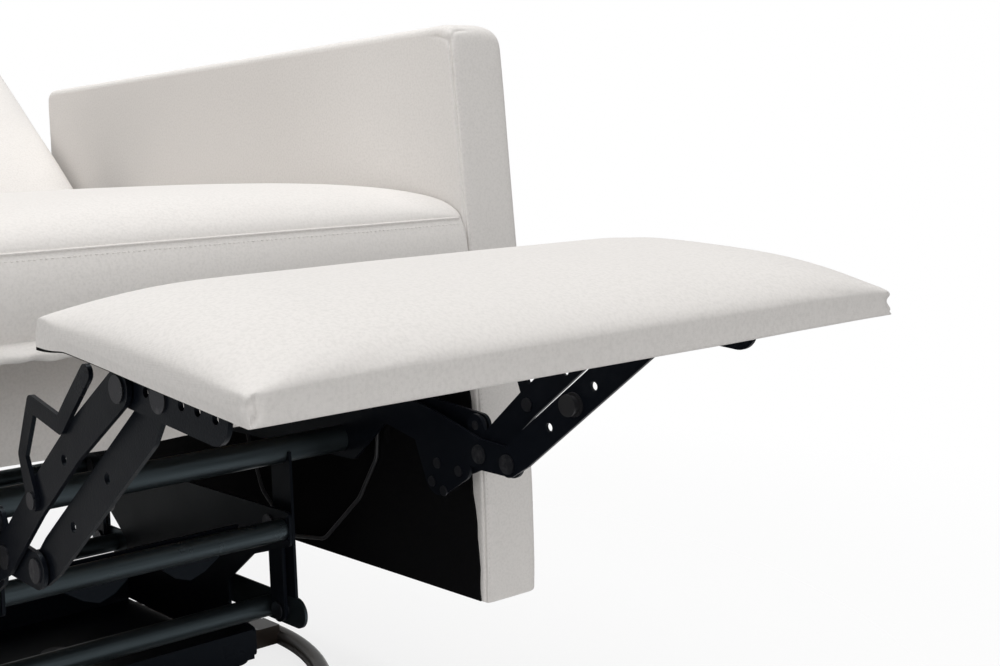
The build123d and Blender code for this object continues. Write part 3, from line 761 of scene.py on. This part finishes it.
# ------------------------------------------------------------------ operators
class RECLINER_OT_metal(bpy.types.Operator):
    """Finish the steel, wood and plastic pieces that come from the solids"""
    bl_idname = "recliner.metal"
    bl_label = "Frame and mechanism"

    def execute(self, context):
        metal = settings("metal")
        coat = coat_material("Black Powder Coat", tuple(metal.coat), tuple(metal.worn_and_highlight), 0.55,
                             shine=0.12)
        tint = coat.node_tree.nodes["Principled BSDF"].inputs["Specular Tint"]
        tint.default_value = (0.72, 0.88, 1.0, 1.0)
        tubes = coat_material("Black Tube Enamel", tuple(metal.tubes), tuple(metal.tubes),
                              0.4, 700.0, metal=0.85)
        # Brown patches on the ring's dark enamel are a painted highlight, the floor's reflection
        # laid in at random.
        ring = coat_material("Ring Enamel", tuple(metal.ring), (0.11, 0.06, 0.035),
                             0.5, 500.0, 0.7)
        pins = coat_material("Blackened Pins", tuple(metal.pins), (0.22, 0.22, 0.23),
                             0.7, 1400.0, 0.0, 0.85)
        wire = coat_material("Oiled Spring Wire", (0.16, 0.155, 0.15), (0.3, 0.28, 0.26),
                             0.6, 1600.0, 0.0, 1.0)
        balls = coat_material("Polished Balls", (0.6, 0.6, 0.62), (0.4, 0.4, 0.42),
                              0.3, 400.0, 0.0, 1.0)
        sleeve = coat_material("Cable Sleeve", (0.02, 0.021, 0.023), (0.06, 0.06, 0.065),
                               0.4, 2200.0, 0.2)
        finish = {"black_steel": coat, "ring_steel": ring, "bare_steel": pins,
                  "spring_steel": wire, "bearing_steel": balls, "wood": wood_material(),
                  "nylon": nylon(), "cable": sleeve, "upholstery": ivory(),
                  "lining": lining_cloth()}
        shiny = ("tube", "rail", "rod", "bar")
        slots = {part["node"]: part["material_slot"] for part in frame["record"]["subparts"]}
        for name, obj in frame["nodes"].items():
            chosen = finish[slots[name]]
            if name == "footrest_board":
                chosen = lining_cloth()
            elif slots[name] == "black_steel" and any(word in name for word in shiny):
                chosen = tubes
            for n in range(max(1, len(obj.material_slots))):
                if n < len(obj.material_slots):
                    obj.material_slots[n].material = chosen
                else:
                    obj.data.materials.append(chosen)
        return {"FINISHED"}


class RECLINER_OT_seat_cushion(bpy.types.Operator):
    """Build the seat cushion with its boxed front roll, seams and top stitching"""
    bl_idname = "recliner.seat_cushion"
    bl_label = "Seat cushion"

    def execute(self, context):
        crown = settings("padding").seat_crown * 1000
        half, base, fold = SEAT_IN + 0.8, ROLL_LOW - 4.0, -331.2

        def section(x):
            d = half - abs(x)
            i = rounding(d, 2.5) * 0.4
            f, r, seam = SEAT_FRONT - (1 - roll_over(d, 30.0)) + i, SEAT_REAR - i, SEAT_SEAM
            rise = crown * (0.56 + 0.44 * roll_over(d, 240.0))
            hem = 1.8 * math.sin(x / 3.9) + 0.9 * math.sin(x / 9.7 + 1.0)
            out = 1.4 * math.sin(x / 7.1 + 0.8)
            lip = [(fold, base), (-348.0, base - 1.2 + hem * 0.6), (-357.0, base - 1.2 + hem),
                   (-361.5 - out, base + 1.4 + hem), (-361.0 - out, base + 4.6 + hem * 0.5),
                   (-357.0, base + 8.6), (-351.0, base + 11.2), (-344.6, base + 12.2)]
            low = chain([(fold, base), (fold, ROLL_LOW + 8), (fold, SEAT_LOW), (r, SEAT_LOW)])
            front = chain(lip + bow((-345.8, base + 13.2), (f - 8.5, 436), (f, seam), 18))
            top = chain([(f + (r - f) * t, seam + rise * bulge(t, 9.0, 0.58))
                         for t in near_both_ends()])
            rear = chain([(r, SEAT_LOW), (r + 1, (SEAT_LOW + seam) / 2), (r, seam)])
            return patch(low, top, front, rear)

        upper = (0, 0.12, 0.26, 0.4, 0.54, 0.67, 0.78, 0.87, 0.93, 0.965, 0.985, 1)
        rows = [0.5 * k / LIP_ROWS for k in range(LIP_ROWS)] + [0.5 + 0.5 * t for t in upper]
        block = Block("seat_cushion_cover", (-half, half), (602.0, 98.0), section,
                      rows={"w": rows})
        obj = block.obj
        held = block.where(lambda i, j, k, ni, nj, nk: k == 0 or j == nj or i in (0, ni)
                           or on_seam(i, j, k, ni, nj, nk) or (j == 0 and k < LIP_ROWS))
        swell(obj, held, settings("padding").swell * 0.6)
        ripple(obj, 0.0009, 0.11, 3.0)
        smooth_out(obj)
        edge = [block.spot(x, 0, 1) for x in block.xs]
        below = settings("seams").beside * 1000 / 120.0
        row = [block.spot(x, 0, 1 - below) for x in block.xs[1:-1]]
        dress(obj, "seat", "seat_cushion")
        bead("seat_cushion_seam", obj, [edge[1:-1]], 0.0010, "seat", 0.0003)
        stitch("seat_cushion_stitching", obj, [row], "seat")
        return {"FINISHED"}


class RECLINER_OT_apron(bpy.types.Operator):
    """Build the cloth apron under the seat's front roll"""
    bl_idname = "recliner.apron"
    bl_label = "Front apron"

    def execute(self, context):
        low_, high_, behind = APRON_LOW, APRON_TOP, APRON_FRONT + 3.8

        def section(x):
            i = rounding(APRON_HALF - abs(x), 3.0)
            sag = 1.3 * math.sin(x / 31.0) + 0.9 * math.sin(x / 13.0 + 0.6)
            f, r = APRON_FRONT - 1.2 + i * 0.5, APRON_FRONT + 21.5
            edge = (f + 1.2, low_ - 0.5 + sag * 0.4)
            low = chain([edge, (r, low_ + sag * 0.4)])
            front = chain(bow(edge, (f + sag * 0.35, (low_ + high_) / 2), (f + 1, high_)))
            top = chain([(f + 1, high_), (behind, high_)])
            rear = chain([(r, low_ + sag * 0.4), (r, low_ + HEM), (behind, low_ + HEM),
                          (behind, high_)])
            return patch(low, top, front, rear)

        block = Block("front_apron_cover", (-APRON_HALF, APRON_HALF), (22.0, high_ - low_),
                      section)
        obj = block.obj
        ripple(obj, 0.0006, 0.05, 9.0)
        smooth_out(obj)
        dress(obj, "seat", "front_apron")
        return {"FINISHED"}


class RECLINER_OT_arms(bpy.types.Operator):
    """Build both upholstered arms, with their front band seams and the finger cup"""
    bl_idname = "recliner.arms"
    bl_label = "Arms"

    def execute(self, context):
        def section(x):
            inner, outer = x - ARM_IN, ARM_OUT - x
            i = rounding(inner, 3.5) + rounding(outer, 8.0)
            drop = rounding(inner, 9.0) * 0.8 + rounding(outer * 0.58, 15.0) * 0.9
            cushion = 1.6 * roll_over(min(inner, outer), 26.0)
            f, r = ARM_FRONT + i + 0.6 - cushion, ARM_REAR + 8 - i
            t, b = ARM_TOP - drop, ARM_LOW + min(i, 1.5)
            lean = [(f - 1.5, 150), (f - 3.0, 225), (f - 0.5, 330), (f + 3.0, 420),
                    (f + 7.5, 500), (f + 12.0, 575)]
            nose = bow((f + 15.0, t - 15), (f + 19.5, t - 4.5), (f + 31, t), 12)
            tail = bow((r - 14, t - 0.5), (r - 4, t - 4), (r, t - 14), 12)
            front = chain([(f, b)] + lean + nose[:7])
            top = chain(nose[6:] + tail[:7])
            rear = chain([(r, b)] + tail[6:][::-1])
            low = chain([(f, b), (r, b)])
            return patch(low, top, front, rear)

        for side, name in ((1, "left"), (-1, "right")):
            rows = {"x": tight(ARM_OUT - ARM_IN, 10.0), "v": tight(828.0, 10.0)}
            block = Block("arm_" + name + "_cover", (ARM_IN, ARM_OUT), (828.0, 512.0), section,
                          pitch=10.0, rows=rows)
            obj = block.obj
            ripple(obj, 0.0007, 0.16, 5.0)
            smooth_out(obj)
            at = ARM_IN + 1.1
            up = [k / 60 for k in range(61)]
            seam = [block.spot(at, 0, t) for t in up[:-1]]
            meet = block.spot(at, 0, 0.984)
            fold = [meet, block.spot(ARM_IN + 9, 0, 0.993), block.spot(ARM_IN + 20, 0, 0.995)]
            turn = [meet, block.spot(ARM_IN, 0.012, 0.992), block.spot(ARM_IN, 0.018, 0.993)]
            inward = Vector((-0.6, -0.8, 0.0))
            groove(obj, [seam], 0.0007, 0.0040, inward)
            groove(obj, [seam], 0.0032, 0.0010, inward)
            groove(obj, [fold, turn], 0.0009, 0.0013)
            dimple(obj, meet, 0.0045, 0.0016, Vector((-0.5, -0.6, 0.6)))
            rows = [[block.spot(at + 3.6, 0, t) for t in up[1:-3]]]
            if side < 0:
                flip(obj)
                rows = [[Vector((-p.x, p.y, p.z)) for p in row] for row in rows]
            else:
                cup_cut(obj)
            dress(obj, "seat", "arm_" + name)
            stitch("arm_" + name + "_stitching", obj, rows, "seat")
        return {"FINISHED"}


def flip(obj):
    """Mirrors a mesh to the other side and keeps its faces outward."""
    obj.data.transform(Matrix.Scale(-1, 4, (1, 0, 0)))
    obj.data.flip_normals()


def cup_cut(obj):
    """Cuts the round finger cup out of the outer face."""
    bm = bmesh.new()
    y, z, r, depth = CUP
    centre = to_room((ARM_OUT, y, z))
    across = Matrix.Translation(centre) @ Matrix.Rotation(math.pi / 2, 4, "Y")
    bmesh.ops.create_cone(bm, cap_ends=True, segments=64, radius1=r / 1000, radius2=r / 1000,
                          depth=2 * depth / 1000, matrix=across)
    tool = finish_mesh("cup_tool", bm, ivory())
    mod = obj.modifiers.new("Cup", "BOOLEAN")
    mod.operation = "DIFFERENCE"
    mod.object = tool
    mod.solver = "EXACT"
    rest_on(obj)
    bpy.data.objects.remove(tool)
    obj.data.shade_smooth()


class RECLINER_OT_lever_cup(bpy.types.Operator):
    """Build the moulded cup that the release lever stands in"""
    bl_idname = "recliner.lever_cup"
    bl_label = "Lever cup"

    def execute(self, context):
        y, z, r, depth = CUP
        profile = [(r + 4.5, 0.6), (r + 3.6, 1.7), (r + 0.6, 2.0), (r - 1.2, 1.0),
                   (r - 1.9, -1.5), (r - 2.4, -8.0), (r - 3.0, 1.2 - depth),
                   (r - 5.5, 0.4 - depth), (9.0, 0.3 - depth), (6.6, 0.3 - depth)]
        turns = [math.tau * k / CUP_SIDES for k in range(CUP_SIDES)]
        bm = bmesh.new()
        rings = [[bm.verts.new(to_room((ARM_OUT + out, y + radius * math.cos(a),
                                        z + radius * math.sin(a)))) for a in turns]
                 for radius, out in profile]
        for p, q in zip(rings, rings[1:]):
            for k in range(CUP_SIDES):
                n = (k + 1) % CUP_SIDES
                bm.faces.new((p[k], p[n], q[n], q[k]))
        dress(finish_mesh("lever_cup", bm, nylon()), "seat", slot="nylon")
        return {"FINISHED"}


class RECLINER_OT_linings(bpy.types.Operator):
    """Build the black linings on the arms' inner faces, with their uneven front hem"""
    bl_idname = "recliner.linings"
    bl_label = "Arm linings"

    def execute(self, context):
        low_, rear_ = ARM_LOW + 1.6, 461.0

        def section(x):
            def edge(z):
                return (-341.5 - 5.0 * max(0.0, min(1.0, (210 - z) / 80))
                        + 1.3 * math.sin(z / 17.0) + 0.9 * math.sin(z / 7.3 + 2.0))
            heights = [low_ + (LINING_TOP - low_) * k / 40 for k in range(41)]
            front = chain([(edge(z), z) for z in heights])
            rear = chain([(rear_, low_), (rear_, LINING_STEP)])
            low = chain([(edge(low_), low_), (rear_, low_)])
            top = chain([(edge(LINING_TOP), LINING_TOP), (LINING_TAB - 1, LINING_TOP),
                         (LINING_TAB + 1, LINING_STEP), (rear_, LINING_STEP)])
            return patch(low, top, front, rear)

        for side, name in ((1, "left"), (-1, "right")):
            block = Block("arm_lining_" + name, (ARM_IN - 1.5, ARM_IN - 0.1), (788.0, 240.0),
                          section, pitch=12.0)
            obj = block.obj
            middle = (2 * ARM_IN - 1.6) / 2000
            for vert in obj.data.vertices:
                wave = noise.noise(vert.co / 0.07) * 0.0004
                if vert.co.x < middle:
                    vert.co.x += abs(wave)
            if side < 0:
                flip(obj)
            dress(obj, "seat", "arm_linings", slot="lining")
        return {"FINISHED"}


class RECLINER_OT_footrest_pad(bpy.types.Operator):
    """Build the footrest pad, wrapped round its board, with tucked corners"""
    bl_idname = "recliner.footrest_pad"
    bl_label = "Footrest pad"

    def execute(self, context):
        crown = settings("padding").foot_crown * 1000
        half, low_ = FOOT_HALF + 3.0, -16.2

        def section(x):
            d = half - abs(x)
            roll = roll_over(d, 88.0, 2.4)
            f, r = -FOOT_DEPTH + 1.0, 1.5

            def height(t):
                corner = (8.3 + 4.4 * math.exp(-(t / 0.06) ** 2)
                          + 5.6 * math.exp(-((1 - t) / 0.07) ** 2))
                full = 17.2 - 1.2 * t + crown * bulge(t, 2.9, 0.54)
                return low_ + corner + (full - corner) * roll
            band = height(0.0)
            low = chain([(f, low_), (r, low_)])
            front = chain([(f, low_), (f - 3.0, low_ + 1.0), (f - 2.2, low_ + 5.5),
                           (f - 1.3, low_ + 9.5), (f - 1.3, band - 2.5), (f - 1.5, band)])
            top = chain([(f - 1.5 + (r - f - 0.5) * t, height(t)) for t in near_both_ends()])
            rear = chain([(r, low_), (r + 1.0, low_ + 6.0), (r - 2.0, height(1.0))])
            return patch(low, top, front, rear)

        def warp(x, y, z):
            ear = max(0.0, 1 - max(0.0, half - abs(x)) / 24.0) * max(0.0, 1 + min(0.0, y) / 24.0)
            low_part = max(0.0, min(1.0, (-5.0 - z) / 11.0))
            return x * (1 - 3.0 / half * low_part * (1 - ear)), y, z - 3.6 * ear ** 0.5 * low_part

        block = Block("footrest_pad_cover", (-half, half), (FOOT_DEPTH, 20.0), section,
                      place=tilted(FOOT, FOOT_TILT), pitch=7.5, warp=warp)
        obj = block.obj
        held = block.where(lambda i, j, k, ni, nj, nk: k <= nk // 2 or on_seam(i, j, k, ni, nj, nk))
        swell(obj, held, settings("padding").swell * 0.35)
        ripple(obj, 0.0005, 0.08, 7.0)
        obj.data.materials.append(ivory())
        obj.data.materials.append(lining_cloth())
        under = set(block.where(lambda i, j, k, ni, nj, nk:
                                k == 0 and 5 < i < ni - 5 and 5 < j < nj - 5))
        foot = set(block.where(lambda i, j, k, ni, nj, nk: k <= 2 and i in (0, ni) and j > 5))
        for face in obj.data.polygons:
            if all(v in under for v in face.vertices) or all(v in foot for v in face.vertices):
                face.material_index = 1
        smooth_out(obj)

        def at_corner(x, z):
            return to_room((x, *tilted(FOOT, FOOT_TILT)(-FOOT_DEPTH - 1.3, z)))
        for s in (-1, 1):
            tuck = [at_corner(s * x, z) for x, z in (
                (245.5, 1.6), (243.3, -0.6), (242.0, -3.5), (241.6, -7.0), (242.3, -10.5),
                (244.6, -13.2))]
            groove(obj, [tuck], 0.0030, 0.0012, Vector((s * 0.35, -0.93, 0.1)))
            dimple(obj, at_corner(s * 246.6, -6.5), 0.0050, 0.0042,
                   Vector((s * 0.6, -0.8, 0.0)))
        for vert in obj.data.vertices:
            over = abs(vert.co.x) - (half - 1.2) / 1000
            if over > 0:
                vert.co.x -= math.copysign(over * 0.75, vert.co.x)
        dress(obj, "footrest", "footrest_pad")
        return {"FINISHED"}


class RECLINER_OT_back_cushion(bpy.types.Operator):
    """Build the back cushion with its boxed edge and stitching"""
    bl_idname = "recliner.back_cushion"
    bl_label = "Back cushion"

    def execute(self, context):
        crown = settings("padding").back_crown * 1000

        def section(x):
            i = rounding(BACK_HALF - abs(x), 6.0) * 0.9
            f, lo, hi = -BACK_FACE + 17.0 + i, BACK_LOW + i, BACK_HIGH - i
            rise = crown * (0.25 + 0.75 * roll_over(BACK_HALF - abs(x), 110.0, 2.2))
            low = chain([(f + 3, lo + 3), (f + 10, lo + 0.4), (POST_FRONT, lo)])
            curve = bow((f + 6, hi - 34), (f + 30, hi - 4), (POST_FRONT - 4, hi), 16)
            face = [(f + 3 * (1 - t) + 6 * t - rise * bulge(t, 3.2, 0.8),
                     lo + 3 + (hi - 34 - lo - 3) * t) for t in (k / 40 for k in range(41))]
            front = chain(face + curve[1:7])
            top = chain(curve[6:])
            rear = chain([(POST_FRONT, lo), (POST_FRONT, hi - 12), (POST_FRONT - 4, hi)])
            return patch(low, top, front, rear)

        block = Block("back_cushion_cover", (-BACK_HALF, BACK_HALF), (76.0, 640.0), section,
                      place=tilted(BACK, BACK_LEAN), pitch=11.0)
        obj = block.obj
        held = block.where(lambda i, j, k, ni, nj, nk:
                           j == nj or i in (0, ni) or on_seam(i, j, k, ni, nj, nk))
        swell(obj, held, settings("padding").swell * 0.7)
        ripple(obj, 0.0010, 0.13, 11.0)
        smooth_out(obj)
        seams = block.uprights(BACK_HALF - 0.3, 0, 50)
        groove(obj, seams + [[block.spot(x, 0, 0) for x in block.xs]])
        dress(obj, "backrest", "back_cushion")
        stitch("back_cushion_stitching", obj, block.uprights(BACK_HALF - 0.2, 0.12, 50, 1),
               "backrest")
        return {"FINISHED"}


class RECLINER_OT_back_shell(bpy.types.Operator):
    """Build the upholstered outside back, drawn round the back frame"""
    bl_idname = "recliner.back_shell"
    bl_label = "Outside back"

    def execute(self, context):
        half = BACK_HALF - 0.6

        def section(x):
            i = rounding(half - abs(x), 8.0)
            f, r = POST_FRONT + 0.3, BACK_REAR - i
            lo, hi = BACK_LOW + 1.5 + i * 0.3, BACK_HIGH - 6 - i
            rise = 3.0 * (1 - (abs(x) / half) ** 4)
            low = chain([(f, lo), (r - 8, lo), (r - 2, lo + 3)])
            front = chain([(f, lo), (f, hi - 6)])
            top = chain([(f, hi - 6)] + bow((r - 14, hi), (r - 4, hi - 4), (r - 0.5, hi - 12), 8))
            rear = chain([(r - 2 + 1.5 * t + rise * (1 - abs(2 * t - 1) ** 3),
                           lo + 3 + (hi - 12 - lo - 3) * t) for t in (k / 30 for k in range(31))])
            return patch(low, top, front, rear)

        block = Block("back_outer_cover", (-half, half), (64.0, 632.0), section,
                      place=tilted(BACK, BACK_LEAN), pitch=12.0)
        obj = block.obj
        ripple(obj, 0.0009, 0.15, 13.0)
        smooth_out(obj)
        seams = block.uprights(half - 7, 1, 40)
        groove(obj, seams + [[block.spot(x, 1, 1) for x in block.xs[2:-2]]], 0.0014)
        dress(obj, "backrest", "back_outer")
        stitch("back_outer_stitching", obj, block.uprights(half - 15, 1, 40, 1), "backrest")
        return {"FINISHED"}


def floor_material(colour):
    """Pale floor, seen brighter than it is lit, that fades out away from the chair."""
    mat = bpy.data.materials.new("Pale Floor")
    mat.use_nodes = True
    tree = mat.node_tree
    tree.nodes.clear()
    out = tree.nodes.new("ShaderNodeOutputMaterial")
    place = tree.nodes.new("ShaderNodeTexCoord").outputs["Object"]
    dust = grains(tree, place, 3.0, 3.0)
    dim = tuple(c * 0.985 for c in colour)
    paint = mix_colour(tree, dust.outputs[0], colour, dim)
    matte = add(tree, "ShaderNodeBsdfDiffuse", {"Color": paint})
    clear = add(tree, "ShaderNodeBsdfTransparent")
    radius = vector(tree, "LENGTH", {0: place}, "Value")
    fade = stretch(tree, radius, *FLOOR_FADE, interpolation_type="SMOOTHSTEP")
    glow = add(tree, "ShaderNodeEmission", {"Color": (1, 1, 1, 1), "Strength": 1.0})
    path = tree.nodes.new("ShaderNodeLightPath")
    share = maths(tree, "MULTIPLY", path.outputs["Is Camera Ray"], 0.8)
    pale = add(tree, "ShaderNodeMixShader", {0: share, 1: matte.outputs[0], 2: glow.outputs[0]})
    blend = add(tree, "ShaderNodeMixShader", {0: fade, 1: pale.outputs[0], 2: clear.outputs[0]})
    tree.links.new(blend.outputs[0], out.inputs["Surface"])
    return mat


def white_room(strength):
    """White to the camera, and even light of a set strength to everything else."""
    world = bpy.data.worlds.new("Studio")
    world.use_nodes = True
    tree = world.node_tree
    tree.nodes.clear()
    out = tree.nodes.new("ShaderNodeOutputWorld")
    even, white = (add(tree, "ShaderNodeBackground", {"Color": (1, 1, 1, 1), "Strength": power})
                   for power in (strength, 1.0))
    path = tree.nodes.new("ShaderNodeLightPath")
    seen = maths(tree, "MAXIMUM", path.outputs["Is Camera Ray"],
                 path.outputs["Is Transmission Ray"])
    both = add(tree, "ShaderNodeMixShader", {0: seen, 1: even.outputs[0], 2: white.outputs[0]})
    tree.links.new(both.outputs[0], out.inputs["Surface"])
    return world


def lamp(name, power, size, spot, aim):
    light = bpy.data.lights.new(name, "AREA")
    light.shape, light.size, light.energy = "DISK", size, power
    obj = bpy.data.objects.new(name, light)
    obj.location = spot
    obj.rotation_euler = (Vector(aim) - Vector(spot)).to_track_quat("-Z", "Y").to_euler()
    bpy.context.collection.objects.link(obj)


def photo_camera(lens):
    """The camera that was fitted to the photo."""
    camera = bpy.data.cameras.new("Camera")
    camera.lens = lens
    camera.sensor_width = 36.0
    camera.shift_x, camera.shift_y = CAMERA_SHIFT
    camera.clip_start, camera.clip_end = 0.02, 50
    ahead, right = Vector(CAMERA_AHEAD).normalized(), Vector(CAMERA_RIGHT).normalized()
    up = right.cross(ahead)
    roll = math.radians(CAMERA_ROLL)
    side = right * math.cos(roll) + up * math.sin(roll)
    top = up * math.cos(roll) - right * math.sin(roll)
    turn = Matrix((side, top, -ahead)).transposed().to_4x4()
    obj = bpy.data.objects.new("Camera", camera)
    obj.matrix_world = Matrix.Translation(CAMERA_SPOT) @ turn
    bpy.context.collection.objects.link(obj)
    return obj


class RECLINER_OT_stage(bpy.types.Operator):
    """Set the floor, the soft studio lights and the camera"""
    bl_idname = "recliner.stage"
    bl_label = "Studio"

    def execute(self, context):
        studio, scene = settings("studio"), context.scene
        bm = bmesh.new()
        bmesh.ops.create_circle(bm, cap_ends=True, segments=96, radius=FLOOR_RADIUS)
        finish_mesh("studio_floor", bm, floor_material(tuple(studio.floor)), False)
        scene.world = white_room(studio.room)
        lamp("key_overhead", studio.key, 2.2, (0.0, -0.1, 2.65), (0.0, -0.1, 0.4))
        lamp("front", studio.front, 2.4, (-0.4, -3.5, 1.2), (0.0, -0.4, 0.35))
        lamp("low_left", studio.side, 0.7, (-2.3, -1.2, 0.5), (0.0, -0.4, 0.35))
        scene.camera = photo_camera(studio.lens)
        scene.view_settings.view_transform = "Standard"
        return {"FINISHED"}


OPERATORS = (RECLINER_OT_metal, RECLINER_OT_seat_cushion, RECLINER_OT_apron,
             RECLINER_OT_arms, RECLINER_OT_lever_cup, RECLINER_OT_linings,
             RECLINER_OT_footrest_pad, RECLINER_OT_back_cushion, RECLINER_OT_back_shell,
             RECLINER_OT_stage)


def group_name(group):
    return group.__name__.split("_PG_")[1]


class RECLINER_PT_panel(bpy.types.Panel):
    """Lists the recliner's settings and the pieces that can be built"""
    bl_idname = "RECLINER_PT_panel"
    bl_label = "Recliner"
    bl_space_type = "VIEW_3D"
    bl_region_type = "UI"
    bl_category = "Recliner"

    def draw(self, context):
        for group in GROUPS:
            name = group_name(group)
            box = self.layout.box()
            box.label(text=name.capitalize())
            for key in group.__annotations__:
                box.prop(settings(name), key)
        for operator in OPERATORS:
            self.layout.operator(operator.bl_idname)


def register():
    for cls in (*GROUPS, *OPERATORS, RECLINER_PT_panel):
        bpy.utils.register_class(cls)
    for group in GROUPS:
        setattr(bpy.types.Scene, "recliner_" + group_name(group), PointerProperty(type=group))


def unregister():
    for group in GROUPS:
        delattr(bpy.types.Scene, "recliner_" + group_name(group))
    for cls in (RECLINER_PT_panel, *reversed(OPERATORS), *reversed(GROUPS)):
        bpy.utils.unregister_class(cls)


def main():
    register()
    for operator in OPERATORS:
        getattr(bpy.ops.recliner, operator.bl_idname.split(".")[1])()


if __name__ == "__main__":
    main()
